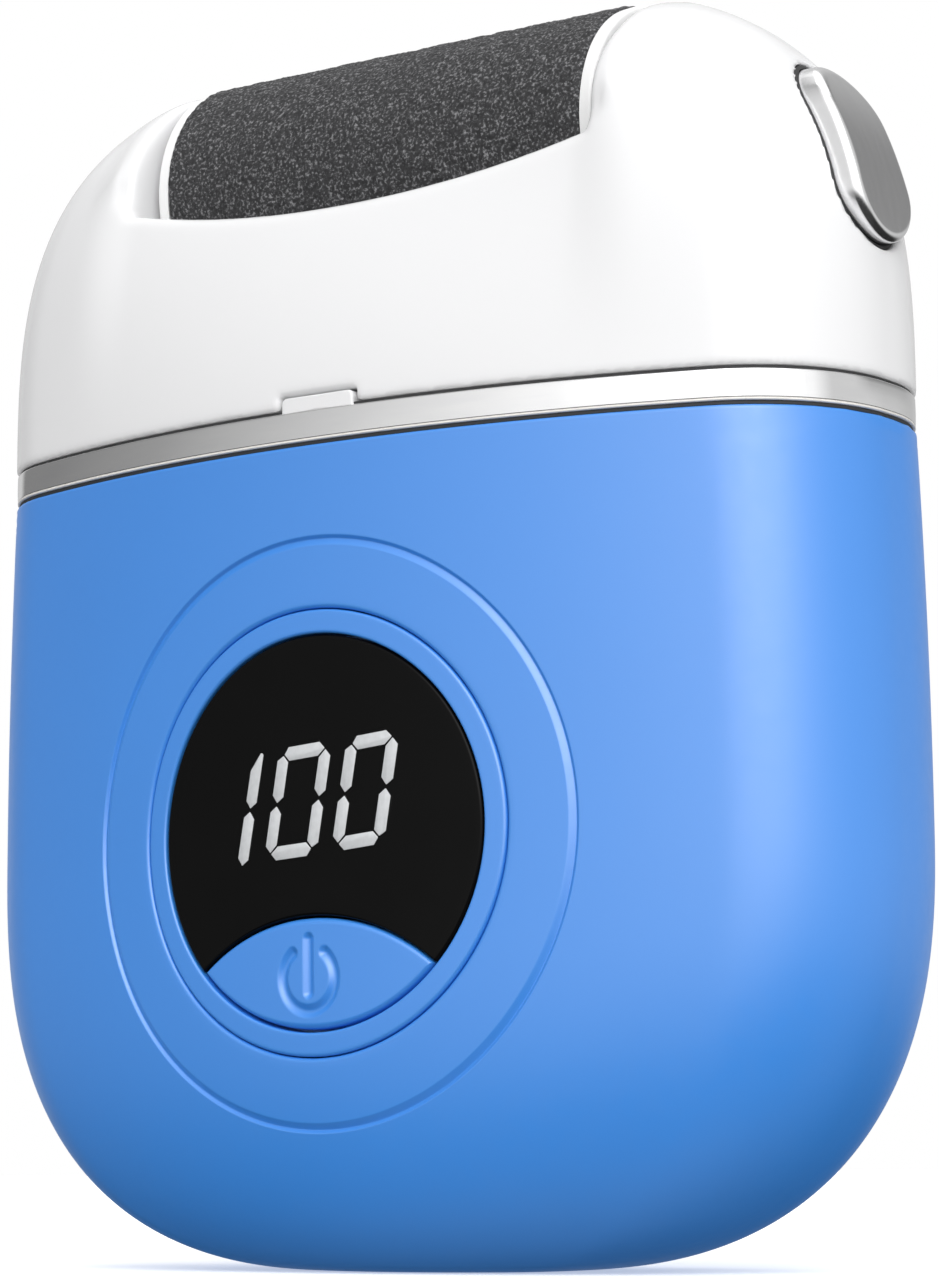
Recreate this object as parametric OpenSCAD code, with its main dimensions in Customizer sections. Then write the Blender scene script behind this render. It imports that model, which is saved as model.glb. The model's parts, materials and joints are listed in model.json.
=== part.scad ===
// Palm-size electric callus remover.
// A blue cup-shaped body carries a round display with a power button, a thin
// metal band and a white head. The head holds an abrasive roller between two
// arms, driven by a small motor through a gear train in the left arm and
// released by a sprung button in the right arm.
// Origin: centre of the flat base. X runs across the width, -Y is the display
// side and +Z points up to the roller.

/* [Body] */
// Overall width across the middle of the body
body_w = 80; // [79:0.5:82]
// Overall thickness, front to rear
body_t = 34.2; // [34:0.1:35]
// Radius of the gently curved front and rear faces
face_r = 103; // [98:1:110]
// Radius of the upright corners
corner_r = 12; // [11:0.5:13]
// Wall thickness of the body and the head
wall = 2; // [1.8:0.1:2.1]
// Height of the body's upper edge
body_h = 60.6; // [60.4:0.1:60.8]
// Height over which the sides round in to the base
round_side = 31.3; // [29:0.5:32]
// Height over which the front and rear round in to the base
round_face = 24.9; // [23:0.5:26]
// Half width of the flat base
base_a = 8; // [6.5:0.5:10]
// Half depth of the flat base
base_b = 5.6; // [4.5:0.1:6.5]

/* [Head] */
// Height at which the head starts
head_z = 63.4; // [63.3:0.1:63.5]
// Half distance between the inner faces of the two arms
bay_half = 21.5; // [21.4:0.1:21.6]
// Radius of the trough that the roller sits in
bay_r = 11.3; // [11.1:0.1:11.5]
// Lowest height of the curved front and rear lips
lip_z = 79.6; // [79:0.1:80.4]
// Radius of the lips' upward curve
lip_r = 91; // [85:1:100]

/* [Roller] */
// Height of the roller's axis
roller_z = 84.1; // [84.1]
// Outer radius of the abrasive sleeve
roller_r = 10.4; // [10.2:0.1:10.5]
// Half length of the abrasive sleeve
roller_half = 19.4; // [19.2:0.1:19.4]
// Radius of the retractable pin at the roller's free end
pin_r = 1.9; // [1.6:0.1:2]
// Travel of the release button and of the pin that it pushes
release_travel = 2; // [1.8:0.1:2]

/* [Gears] */
// Gear module
gear_m = 0.5; // [0.5]
// Teeth of the roller's gear
t_roller = 18; // [18]
// Teeth of the upper idler
t_idler = 24; // [24]
// Teeth of the compound idler's small gear
t_small = 15; // [15]
// Teeth of the compound idler's large gear
t_large = 30; // [30]
// Teeth of the motor's pinion
t_pinion = 12; // [12]
// Play between meshing teeth at the pitch line
backlash = 0.14; // [0.1:0.01:0.18]

/* [Display] */
// Height of the display's centre
disp_z = 31.95; // [31.5:0.05:32.5]
// Radius of the round display opening
disp_r = 14.5; // [14.3:0.1:14.7]
// Outer radius of the bezel ring
bezel_r = 16.35; // [16.2:0.05:16.6]
// Radius of the styling groove around the display
groove_r = 21.45; // [20.8:0.05:22]
// Depth of the display face behind the front of the body
disp_in = 0.75; // [0.6:0.05:0.9]
// Slant of the digits, degrees
digit_slant = 14; // [8:1:16]
// Travel of the power button
power_travel = 0.5; // [0.3:0.1:0.5]

/* [Hidden] */
// End of the retractable pin: pressed in, it clears the arm's inner face
pin_end = 21 + release_travel;
// Inner end of the power button's stem, short of the switch by its travel
power_end = -13 - power_travel;

ha = body_w / 2;
hb = body_t / 2;
band_a = ha - 0.75;            // the sides lean in slightly towards the band
head_top = 95.0;
head_span = head_top - 63;     // height of the head above its widest line

// pitch radii and shaft heights of the gear train
r_roller = gear_m * t_roller / 2;
r_idler = gear_m * t_idler / 2;
r_small = gear_m * t_small / 2;
r_large = gear_m * t_large / 2;
r_pinion = gear_m * t_pinion / 2;
idler_a_z = roller_z - r_roller - r_idler;
idler_b_z = idler_a_z - r_idler - r_small;
motor_z = idler_b_z - r_large - r_pinion;
gx0 = -27;                     // the upper gears' outer face
gx1 = -24;                     // the upper gears' inner face
px0 = -31;                     // the large gear's outer face
px1 = -28.4;                   // the large gear's inner face
axle_r = 1;
run = 0.05;                    // radial running clearance

// ---------- profiles ----------

// Closed outline of the body in plan: two shallow arcs, four corner arcs and
// short straight sides, with half width a and half depth b.
function plan(a, b, n1 = 9, n2 = 6) =
    let (sx = a / ha, sy = b / hb,
         xc = ha - corner_r,
         yc = -hb + face_r - sqrt(pow(face_r - corner_r, 2) - xc * xc),
         t0 = asin(xc / (face_r - corner_r)),
         front = [for (i = [-n1:n1]) let (t = t0 * i / n1)
             [face_r * sin(t), -hb + face_r - face_r * cos(t)]],
         right = [for (i = [1:n2]) let (t = t0 + (90 - t0) * i / n2)
             [xc + corner_r * sin(t), min(yc - corner_r * cos(t), -0.3)]],
         half = concat(front, right),
         rear = [for (i = [n2:-1:1]) let (t = t0 + (90 - t0) * i / n2)
             [xc + corner_r * sin(t), -min(yc - corner_r * cos(t), -0.3)]],
         back = [for (i = [n1:-1:-n1]) let (t = t0 * i / n1)
             [face_r * sin(t), hb - face_r + face_r * cos(t)]],
         left1 = [for (i = [1:n2]) let (t = t0 + (90 - t0) * i / n2)
             [-xc - corner_r * sin(t), -min(yc - corner_r * cos(t), -0.3)]],
         left2 = [for (i = [n2:-1:1]) let (t = t0 + (90 - t0) * i / n2)
             [-xc - corner_r * sin(t), min(yc - corner_r * cos(t), -0.3)]])
    [for (p = concat(half, rear, back, left1, left2)) [p[0] * sx, p[1] * sy]];

function quarter(u, k) = pow(max(1 - pow(max(u, 0), k), 0), 1 / k);

// half width and half depth of the body at height z
function body_a(z) = base_a + (ha - base_a) * quarter(1 - z / round_side, 2.45)
    - (z > round_side ? 0.75 * pow((z - round_side) / (body_h - round_side), 2) : 0);
function body_b(z) = base_b + (hb - base_b) * quarter(1 - z / round_face, 2.8);
// half width and half depth of the head at height z
function head_a(z) = (ha - 0.7) * quarter((z - 63) / 33.2, 2.8);
function head_b(z) = hb * sqrt(max(1 - pow(max(z - 63, 0) / head_span, 1.6), 0.0001));

// Solid lofted through equal-length outlines at rising heights.
module loft(rings, zs) {
    n = len(rings[0]);
    m = len(rings);
    pts = [for (j = [0:m - 1]) for (p = rings[j]) [p[0], p[1], zs[j]]];
    sides = [for (j = [0:m - 2]) for (i = [0:n - 1])
        let (a = j * n + i, b = j * n + (i + 1) % n) each [[a, a + n, b + n], [a, b + n, b]]];
    caps = [[for (i = [0:n - 1]) i], [for (i = [n - 1:-1:0]) (m - 1) * n + i]];
    polyhedron(points = pts, faces = concat(sides, caps), convexity = 8);
}

// heights spaced closely where the base rounds in
body_zs = [for (i = [0:13]) round_side * pow(i / 13, 1.9)];
module body_solid(inset, z0, top) {
    zs = concat([for (z = body_zs) z0 + z * (round_side - z0) / round_side], [46, top]);
    loft([for (z = zs) let (q = max(z - z0, 0) * round_side / (round_side - z0))
        plan(max(body_a(z < round_side ? q : z) - inset, 1), max(body_b(z < round_side ? q : z) - inset, 1))], zs);
}

head_zs = concat([63.2], [for (i = [1:12]) 63 + (head_top - 63) * sin(90 * i / 12.6)], [head_top - 0.06]);
module head_solid(inset, top) {
    zs = [for (z = head_zs) if (z < top) z];
    loft([for (z = concat(zs, [top])) plan(max(head_a(z + inset * 0.4) - inset, 1), max(head_b(z + inset * 0.4) - inset, 1))],
        concat(zs, [top]));
}

module plan_ring(out_inset, in_inset, h) {
    linear_extrude(h) difference() {
        polygon(plan(band_a - out_inset, hb - out_inset));
        polygon(plan(band_a - in_inset, hb - in_inset));
    }
}

// Cylinders along X and Y, from one coordinate to another.
module rod_x(x0, x1, r, z, y = 0, fn = 64) translate([x0, y, z]) rotate([0, 90, 0]) cylinder(r = r, h = x1 - x0, $fn = fn);
module rod_y(y0, y1, r, z, x = 0, fn = 96) translate([x, y0, z]) rotate([-90, 0, 0]) cylinder(r = r, h = y1 - y0, $fn = fn);

// ---------- gears ----------

function inv_deg(r, rb) = r <= rb ? 0 : let (a = acos(rb / r)) tan(a) * 180 / PI - a;
function half_deg(r, rp, rb) =
    (PI * gear_m / 2 - backlash / 2) / 2 / rp * 180 / PI + inv_deg(rp, rb) - inv_deg(max(r, rb), rb);
// Involute outline with short teeth, one of them centred on the +X direction.
function gear_pts(n, phase) =
    let (rp = gear_m * n / 2, rb = rp * cos(20), rr = rp - 1.05 * gear_m, ra = rp + 0.8 * gear_m,
         r1 = max(rb, rr + 0.02), rs = concat([rr], [for (k = [0:5]) r1 + (ra - r1) * k / 5]), c = len(rs) - 1)
    [for (i = [0:n - 1]) let (mid = phase + i * 360 / n)
        each concat([for (k = [0:c]) let (q = mid - half_deg(rs[k], rp, rb)) [rs[k] * cos(q), rs[k] * sin(q)]],
            [for (k = [c:-1:0]) let (q = mid + half_deg(rs[k], rp, rb)) [rs[k] * cos(q), rs[k] * sin(q)]])];
// Spur gear on an X axis; phase 0 puts a tooth at the top.
module gear_x(x0, x1, z, n, phase) {
    translate([x0, 0, z]) rotate([0, 90, 0]) linear_extrude(x1 - x0) polygon(gear_pts(n, 180 + phase));
}

// Coil spring along X, wire swept with eight sides.
module coil_x(x0, x1, r, wire, turns, z) {
    steps = turns * 14;
    pts = [for (i = [0:steps]) let (a = i * 360 / 14, x = x0 + wire + (x1 - x0 - 2 * wire) * i / steps)
        for (k = [0:7]) let (q = k * 45, rad = r + wire * cos(q)) [x + wire * sin(q), rad * cos(a), z + rad * sin(a)]];
    sides = [for (i = [0:steps - 1]) for (k = [0:7])
        let (a = i * 8 + k, b = i * 8 + (k + 1) % 8) each [[a, b, b + 8], [a, b + 8, a + 8]]];
    polyhedron(points = pts, faces = concat(sides, [[for (k = [7:-1:0]) k]], [[for (k = [0:7]) steps * 8 + k]]), convexity = 10);
}

// ---------- outer pieces ----------

// Upright pillar with a rib that ties it to the wall.
module pillar(x, y, z0, z1, r, dx) {
    hull() {
        translate([x, y, z0]) cylinder(r = r, h = z1 - z0, $fn = 24);
        translate([x + dx, y, z0]) cylinder(r = r * 0.5, h = z1 - z0, $fn = 16);
    }
}

module body_casing() {
    color([0.29, 0.56, 0.92]) render(convexity = 6) difference() {
        union() {
            difference() {
                body_solid(0, 0, body_h);
                body_solid(wall, wall, body_h + 0.5);
            }
            // short ribs that hold the internal frame
            for (sx = [-1, 1]) for (sy = [-1, 1]) {
                pillar(sx * 30.5, sy * 10.6, 17, 40, 1.2, sx * 1.2);
                pillar(sx * 20, sy * 12.6, 10.5, 16, 1.1, sx * 1);
            }
        }
        // opening for the bezel ring
        rod_y(-hb - 1, -hb + 5, bezel_r + 0.05, disp_z);
        // shallow groove that follows the front face
        difference() {
            rod_y(-hb - 1, -hb + 4, groove_r + 0.35, disp_z);
            rod_y(-hb - 2, -hb + 5, groove_r - 0.35, disp_z);
            body_solid(0.45, 0, body_h + 1);
        }
        // slot for the charging port in the rear face
        usb_slot(hb - 6, hb + 1, 0.2);
    }
}

module usb_slot(y0, y1, grow) {
    translate([0, y1, 14.2]) rotate([90, 0, 0]) linear_extrude(y1 - y0) {
        square([8.94 - 3.26, 3.26 + 2 * grow], center = true);
        for (s = [-1, 1]) translate([s * (8.94 - 3.26) / 2, 0]) circle(r = 1.63 + grow, $fn = 32);
    }
}

module seam_gasket() {
    color([0.06, 0.06, 0.07]) translate([0, 0, body_h]) plan_ring(1.35, 2.0, head_z - body_h);
}

module trim_band() {
    color([0.78, 0.79, 0.8]) translate([0, 0, body_h + 0.3]) plan_ring(0.03, 1.3, head_z - body_h - 0.6);
}

module head_housing() {
    color([0.96, 0.96, 0.97]) render(convexity = 8) difference() {
        union() {
            difference() {
                intersection() {
                    head_solid(0, head_top - 0.05);
                    translate([-60, -60, head_z]) cube([120, 120, 60]);
                }
                head_solid(wall, 90.2);
                translate([-60, -60, 60]) cube([120, 120, 3.2]);
            }
            // trough wall and arm walls around the roller
            intersection() {
                head_solid(0.4, head_top - 0.3);
                rod_x(-bay_half - 1.6, bay_half + 1.6, bay_r + 1.5, roller_z);
                translate([-60, -60, head_z]) cube([120, 120, 60]);
            }
            // screw pillars
            for (sx = [-1, 1]) for (sy = [-1, 1]) pillar(sx * 34.8, sy * 3.6, 66.8, 75, 1.65, sx * 1.6);
            // ribs under the trough
            for (sx = [-1, 1]) for (sy = [-1, 1]) pillar(sx * 12, sy * 9, 70, 76.5, 1, 3 * sx);
        }
        rod_x(-bay_half, bay_half, bay_r, roller_z, fn = 96);
        // everything above the curved lips, between the arms
        intersection() {
            rod_y(-40, 40, lip_r, lip_z + lip_r, fn = 192);
            translate([-bay_half, -40, lip_z - 1]) cube([2 * bay_half, 80, 40]);
        }
        // seats for the two bearing bushes and the upper idler's axle
        rod_x(-bay_half - 4, -bay_half + 1, 3.55, roller_z, fn = 48);
        rod_x(bay_half - 1, bay_half + 4, 3.55, roller_z, fn = 48);
        rod_x(-bay_half - 2, -bay_half - 0.7, axle_r + 0.02, idler_a_z, fn = 24);
        // screw holes
        for (sx = [-1, 1]) for (sy = [-1, 1]) translate([sx * 34.8, sy * 3.6, 66]) cylinder(r = 0.95, h = 7, $fn = 24);
        // opening for the release button
        button_hole(0.25);
        // notch for the latch tab
        translate([-3, -hb - 1, head_z - 1]) cube([7, 4, 2.05]);
    }
}

// Long rounded outline of the release button in side view.
module button_outline(grow) {
    hull() {
        translate([0, 77.5]) circle(r = 4 + grow, $fn = 32);
        translate([0, 83.4]) circle(r = 3.85 + grow, $fn = 32);
    }
}
module button_prism(x0, x1, grow) {
    translate([x0, 0, 0]) rotate([90, 0, 90]) linear_extrude(x1 - x0) button_outline(grow);
}
module button_hole(grow) {
    button_prism(29, 45, grow);
}

module head_latch_tab() {
    color([0.95, 0.95, 0.96]) {
        translate([-2.8, -hb + 0.05, head_z - 0.28]) cube([6.6, 1.2, 1.2]);
        translate([-2.8, -hb + 1.2, head_z + 0.04]) cube([6.6, 0.9, 0.88]);
    }
}

// ---------- internal frame ----------

module chassis_collar() {
    color([0.9, 0.9, 0.9]) difference() {
        union() {
            translate([0, 0, 54]) plan_ring(2.45, 3.7, 12.3);
            for (sx = [-1, 1]) for (sy = [-1, 1]) translate([sx * 34.9 - 1.35, sy * 3.6 - 1.8, 63.2]) cube([2.7, 3.6, 3.1]);
        }
        for (sx = [-1, 1]) for (sy = [-1, 1]) translate([sx * 34.8, sy * 3.6, 0]) {
            translate([0, 0, 60]) cylinder(r = 1.05, h = 8, $fn = 32);
            translate([0, 0, 50]) cylinder(r = 1.85, h = 13.2, $fn = 32);
        }
    }
}

module head_screws() {
    color([0.7, 0.7, 0.72]) for (sx = [-1, 1]) for (sy = [-1, 1]) translate([sx * 34.8, sy * 3.6, 0]) {
        translate([0, 0, 63.1]) cylinder(r = 0.9, h = 9, $fn = 32);
        difference() {
            translate([0, 0, 61.9]) cylinder(r = 1.65, h = 1.25, $fn = 32);
            translate([-1.2, -0.2, 61.8]) cube([2.4, 0.4, 0.6]);
            translate([-0.2, -1.2, 61.8]) cube([0.4, 2.4, 0.6]);
        }
    }
}

module chassis_frame() {
    color([0.88, 0.88, 0.88]) difference() {
        union() {
            // web behind the circuit board
            translate([-27, -7.6, 12]) cube([54, 1.4, 30]);
            // saddles for the battery
            for (x = [-18, 0, 18]) translate([x - 1, -6.4, 22]) cube([2, 16, 12]);
            // feet that stand on the floor of the body
            for (x = [-13, 13]) translate([x - 1, -6.5, 5.2]) cube([2, 11, 9]);
            // cradle for the motor
            for (x = [-15, 1]) for (s = [-1, 1]) translate([x, s * 8.6 - 0.7, 41.4]) cube([2.4, 1.4, 9]);
            translate([-21.6, -9.3, 41.4]) cube([43.2, 18.6, 1.5]);
            // posts for the circuit board
            for (x = [-15.5, 15.5]) for (z = [15, 39]) {
                rod_y(-7.95, -7.5, 1.7, z, x, 24);
                rod_y(-9.5, -7.5, 0.85, z, x, 24);
            }
        }
        rod_x(-40, 40, 7.25, 31, 4.6);
        motor_profile(-30, 30, 0.15);
        for (x = [-8, 8]) rod_y(-9, -5, 1.1, 20, x, 24);
    }
}

module motor_profile(x0, x1, grow) {
    intersection() {
        rod_x(x0, x1, 10.1 + grow, motor_z);
        translate([x0 - 1, -7.6 - grow, motor_z - 12]) cube([x1 - x0 + 2, 15.2 + 2 * grow, 24]);
    }
}

module gear_plate() {
    color([0.85, 0.85, 0.86]) difference() {
        translate([-23.4, -10.4, 43]) cube([1.5, 20.8, 27.2]);
        rod_x(-25, -20, 3.1, motor_z);
        rod_x(-25, -20, axle_r, idler_b_z);
        for (s = [-1, 1]) rod_x(-25, -20, 0.85, motor_z, s * 5.2, 24);
    }
}

module motor_screws() {
    color([0.72, 0.72, 0.74]) for (s = [-1, 1]) {
        rod_x(-23.45, -20.2, 0.8, motor_z, s * 5.2, 24);
        difference() {
            rod_x(-24.5, -23.42, 1.5, motor_z, s * 5.2, 32);
            translate([-24.6, s * 5.2 - 1, motor_z - 0.2]) cube([0.6, 2, 0.4]);
        }
    }
}

module gear_cover() {
    color([0.92, 0.92, 0.92]) difference() {
        union() {
            translate([-33, -5.4, 47.5]) cube([1.4, 10.8, 28.5]);
            rod_x(-33, -27.4, 1.6, idler_a_z, fn = 32);
            // foot that ties the cover to the gear plate
            translate([-33, -5.4, 46]) cube([9.5, 10.8, 1.55]);
        }
        rod_x(-34, -20, axle_r, idler_a_z);
        rod_x(-34, -20, axle_r, idler_b_z);
    }
}

module idler_axles() {
    color([0.75, 0.76, 0.78]) {
        rod_x(-32.9, -bay_half - 0.75, axle_r, idler_a_z, fn = 48);
        rod_x(-32.9, -22, axle_r, idler_b_z, fn = 48);
    }
}

module drive_bush() {
    color([0.72, 0.58, 0.3]) difference() {
        rod_x(-bay_half - 1.7, -bay_half + 0.05, 3.5, roller_z);
        rod_x(-bay_half - 5, -bay_half + 2, 2 + run, roller_z);
    }
}

module idle_bush() {
    color([0.72, 0.58, 0.3]) difference() {
        rod_x(bay_half - 0.05, bay_half + 2.4, 3.5, roller_z);
        rod_x(bay_half - 2, bay_half + 5, pin_r + run, roller_z);
    }
}

// ---------- motor, battery and electronics ----------

module motor_can() {
    color([0.66, 0.67, 0.69]) difference() {
        union() {
            motor_profile(-21.8, 4.5, 0);
            rod_x(-23.2, -21.8, 3, motor_z);
        }
        motor_profile_in(-20.8, 6);
        rod_x(-25, -19, 1.1, motor_z);
        for (s = [-1, 1]) rod_x(-25, -19, 0.82, motor_z, s * 5.2, 24);
    }
}
module motor_profile_in(x0, x1) {
    intersection() {
        rod_x(x0, x1, 9.4, motor_z);
        translate([x0 - 1, -6.9, motor_z - 12]) cube([x1 - x0 + 2, 13.8, 24]);
    }
}
module motor_end_cap() {
    color([0.15, 0.15, 0.16]) difference() {
        union() {
            motor_profile(4.5, 6.7, 0);
            rod_x(6.7, 8, 3, motor_z);
        }
        rod_x(3, 7, 1.1, motor_z);
    }
}
module motor_terminals() {
    color([0.8, 0.66, 0.3]) for (s = [-1, 1]) translate([6.7, s * 5 - 1, motor_z - 0.2]) difference() {
        cube([4, 2, 0.4]);
        translate([2.8, 1, -1]) cylinder(r = 0.5, h = 3, $fn = 24);
    }
}
module motor_shaft() {
    color([0.8, 0.81, 0.82]) rod_x(px0 - 0.4, 6.6, 1, motor_z, fn = 48);
    // wound core of the rotor
    color([0.5, 0.32, 0.2]) difference() {
        rod_x(-18, 2, 5.6, motor_z, fn = 48);
        rod_x(-19, 3, 0.99, motor_z, fn = 48);
    }
}
module motor_pinion() {
    color([0.86, 0.7, 0.36]) difference() {
        union() {
            gear_x(px0, px1, motor_z, t_pinion, 180 / t_pinion);
            rod_x(px1, px1 + 1.4, 2, motor_z, fn = 32);
        }
        rod_x(px0 - 1, px1 + 3, 1, motor_z, fn = 48);
    }
}

module battery_cell() {
    color([0.2, 0.45, 0.3]) union() {
        rod_x(-24.2, 24.2, 7.05, 31, 4.6);
        rod_x(24.2, 25, 2.6, 31, 4.6);
    }
}
module battery_tabs() {
    color([0.78, 0.78, 0.76]) {
        translate([-24.5, 2.6, 29]) cube([0.2, 4, 10.5]);
        translate([25.05, 2.6, 29]) cube([0.2, 4, 10.5]);
    }
}

module main_pcb() {
    color([0.1, 0.35, 0.2]) difference() {
        translate([-17.5, -9.2, 13]) cube([35, 1.2, 28]);
        for (x = [-15.5, 15.5]) for (z = [15, 39]) rod_y(-10, -7, 0.9, z, x, 24);
    }
}
module pcb_parts() {
    color([0.12, 0.12, 0.13]) {
        translate([10.6, -10.8, 24]) cube([4, 1.55, 5]);
        translate([-14.6, -10.8, 24]) cube([3.2, 1.55, 3.2]);
        translate([-14.4, -10.8, 30]) cube([2.6, 1.55, 4]);
        translate([11, -11.2, 31.5]) cube([3.4, 1.95, 3.4]);
    }
}
module display_module() {
    color([0.08, 0.08, 0.09]) difference() {
        translate([-10, -hb + 3.05, 28.2]) cube([20, hb - 3.05 - 9.25, 12]);
        // light wells behind the digits
        for (x = [-6.6, 0, 6.6]) translate([x - 2.2, -hb + 3, 29.5]) cube([4.4, 3, 9.4]);
    }
}
module power_switch() {
    color([0.2, 0.2, 0.22]) {
        translate([-3, -12.3, 18.3]) cube([6, 3.05, 6]);
        rod_y(-12.9, -12.3, 1.7, 21.3, 0, 32);
    }
}
module charge_pcb() {
    color([0.1, 0.35, 0.2]) translate([-9, 5, 11.2]) cube([18, 8.6, 1.2]);
}
module usb_c_shell() {
    color([0.72, 0.73, 0.75]) difference() {
        usb_slot(9, 16.2, 0);
        translate([0, 17.2, 14.2]) rotate([90, 0, 0]) linear_extrude(7) {
            square([8.34 - 2.66, 2.66], center = true);
            for (s = [-1, 1]) translate([s * (8.34 - 2.66) / 2, 0]) circle(r = 1.33, $fn = 32);
        }
    }
}
module usb_c_tongue() {
    color([0.1, 0.1, 0.1]) translate([-3.3, 10.2, 13.85]) cube([6.6, 5.2, 0.7]);
}

// ---------- display and power button ----------

disp_y = -hb + disp_in;        // front face of the display
lens_r = 16.95;                // radius of the arc between display and button
lens_z = 8.85;                 // height of that arc's centre

module disp_round(y0, y1, r) rod_y(y0, y1, r, disp_z);

// The bezel ring's front face follows the curve of the body.
module display_bezel() {
    color([0.29, 0.56, 0.92]) difference() {
        intersection() {
            disp_round(-hb - 1, -hb + 4, bezel_r);
            translate([0, -hb + 0.12 + face_r, 0]) cylinder(r = face_r, h = 80, $fn = 256);
        }
        disp_round(-hb - 2, -hb + 2.75, disp_r);
        disp_round(-hb + 2, -hb + 6, disp_r - 1.2);
    }
}

module lens_2d(grow) {
    intersection() {
        translate([0, disp_z]) circle(r = disp_r - 0.15 + grow, $fn = 128);
        translate([0, lens_z]) circle(r = lens_r - 0.1 + grow, $fn = 128);
    }
}
// Places a drawing made in the XZ plane so that it is extruded from y0 to y1.
module front_extrude(y0, y1) translate([0, y1, 0]) rotate([90, 0, 0]) linear_extrude(y1 - y0) children();

module display_window() {
    color([0.04, 0.04, 0.045]) difference() {
        disp_round(disp_y, -hb + 2.7, disp_r - 0.05);
        front_extrude(disp_y - 1, -hb + 4) translate([0, lens_z]) circle(r = lens_r + 0.1, $fn = 128);
        front_extrude(disp_y - 1, disp_y + 0.25) digits_2d();
    }
}

// One bar of a digit, pointed at both ends.
module bar(len, w) polygon([[-len / 2, 0], [-len / 2 + w / 2, w / 2], [len / 2 - w / 2, w / 2], [len / 2, 0],
    [len / 2 - w / 2, -w / 2], [-len / 2 + w / 2, -w / 2]]);
// Seven-bar digit centred on the origin; on lists the lit bars.
module digit(on, w = 2.75, h = 7.9, s = 0.95) {
    gap = 0.12;
    at = [[0, h / 2, 0], [w / 2, h / 4, 90], [w / 2, -h / 4, 90], [0, -h / 2, 0], [-w / 2, -h / 4, 90], [-w / 2, h / 4, 90], [0, 0, 0]];
    multmatrix([[1, tan(digit_slant), 0, 0], [0, 1, 0, 0], [0, 0, 1, 0], [0, 0, 0, 1]])
        for (i = on) translate([at[i][0], at[i][1]]) rotate(at[i][2])
            bar((at[i][2] == 0 ? w : h / 2) - 2 * gap, s);
}
module digits_2d() {
    translate([-7.55, 33.75]) rotate(4) digit([1, 2]);
    translate([-1.6, 34.3]) rotate(4) digit([0, 1, 2, 3, 4, 5]);
    translate([4.35, 34.85]) rotate(4) digit([0, 1, 2, 3, 4, 5]);
}
module display_digits() {
    color([0.82, 0.83, 0.84]) front_extrude(disp_y, disp_y + 0.24) digits_2d();
}

module power_icon_2d() {
    difference() {
        circle(r = 2.9, $fn = 64);
        circle(r = 2.35, $fn = 64);
        translate([-1.05, 0]) square([2.1, 4]);
    }
    translate([-0.28, 0.4]) square([0.56, 3.2]);
}
module power_button() {
    color([0.29, 0.56, 0.92]) {
        difference() {
            front_extrude(disp_y - 0.02, disp_y + 1.25) lens_2d(0);
            front_extrude(disp_y - 1, disp_y + 0.2) translate([-0.3, 21.2]) power_icon_2d();
        }
        // stem that reaches the switch
        rod_y(disp_y + 1.2, power_end, 1.3, 21.3, 0, 32);
    }
}

// ---------- roller ----------

module abrasive_sleeve() {
    color([0.25, 0.25, 0.26]) difference() {
        rod_x(-roller_half, roller_half, roller_r, roller_z, fn = 128);
        rod_x(-roller_half - 1, roller_half + 1, roller_r - 1, roller_z, fn = 128);
    }
}
module roller_tube() {
    color([0.93, 0.93, 0.93]) difference() {
        rod_x(-roller_half, roller_half, roller_r - 1.02, roller_z, fn = 96);
        rod_x(-roller_half - 1, 6, roller_r - 2.6, roller_z, fn = 96);
        rod_x(8, roller_half + 1, roller_r - 2.6, roller_z, fn = 96);
        rod_x(5, 9, pin_r + 0.3, roller_z);
    }
}
module roller_cap_drive() {
    color([0.95, 0.95, 0.95]) difference() {
        union() {
            rod_x(-roller_half - 1.1, -roller_half - 0.02, roller_r - 0.25, roller_z, fn = 96);
            rod_x(-roller_half - 0.1, -roller_half + 4, roller_r - 2.62, roller_z, fn = 96);
        }
        // hexagonal socket
        translate([-roller_half - 2, 0, roller_z]) rotate([0, 90, 0]) cylinder(r = 3.1, h = 6.5, $fn = 6);
    }
}
module roller_cap_idle() {
    color([0.95, 0.95, 0.95]) difference() {
        union() {
            rod_x(roller_half + 0.02, roller_half + 1.1, roller_r - 0.25, roller_z, fn = 96);
            rod_x(roller_half - 1.4, roller_half + 0.1, roller_r - 2.62, roller_z, fn = 96);
        }
        rod_x(roller_half - 3, roller_half + 3, pin_r + run, roller_z);
    }
}
module drive_spindle() {
    color([0.78, 0.79, 0.8]) union() {
        rod_x(-29.5, -bay_half + 0.35, 2, roller_z);
        translate([-bay_half + 0.3, 0, roller_z]) rotate([0, 90, 0]) cylinder(r = 3, h = 5, $fn = 6);
    }
}
module roller_gear() {
    color([0.93, 0.9, 0.8]) difference() {
        union() {
            gear_x(gx0, gx1, roller_z, t_roller, 180 / t_roller);
            rod_x(gx1 - 0.01, gx1 + 0.6, 3, roller_z, fn = 32);
        }
        rod_x(gx0 - 1, gx1 + 2, 2, roller_z);
    }
}
module idle_pin() {
    color([0.8, 0.81, 0.82]) union() {
        rod_x(10.5, pin_end, pin_r, roller_z);
        rod_x(16.4, 17.9, 3, roller_z);
    }
}
module idle_pin_spring() {
    color([0.7, 0.7, 0.72]) coil_x(8.1, 16.3, 2.6, 0.3, 5, roller_z);
}

module idler_gear_a() {
    color([0.93, 0.9, 0.8]) difference() {
        gear_x(gx0, gx1, idler_a_z, t_idler, 0);
        rod_x(gx0 - 1, gx1 + 1, axle_r + run, idler_a_z);
    }
}
module idler_gear_b() {
    color([0.93, 0.9, 0.8]) difference() {
        union() {
            gear_x(px1 - 0.01, gx1, idler_b_z, t_small, 180 / t_small);
            gear_x(px0, px1, idler_b_z, t_large, 0);
        }
        rod_x(px0 - 1, gx1 + 1, axle_r + run, idler_b_z);
    }
}

// ---------- release button ----------

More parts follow.
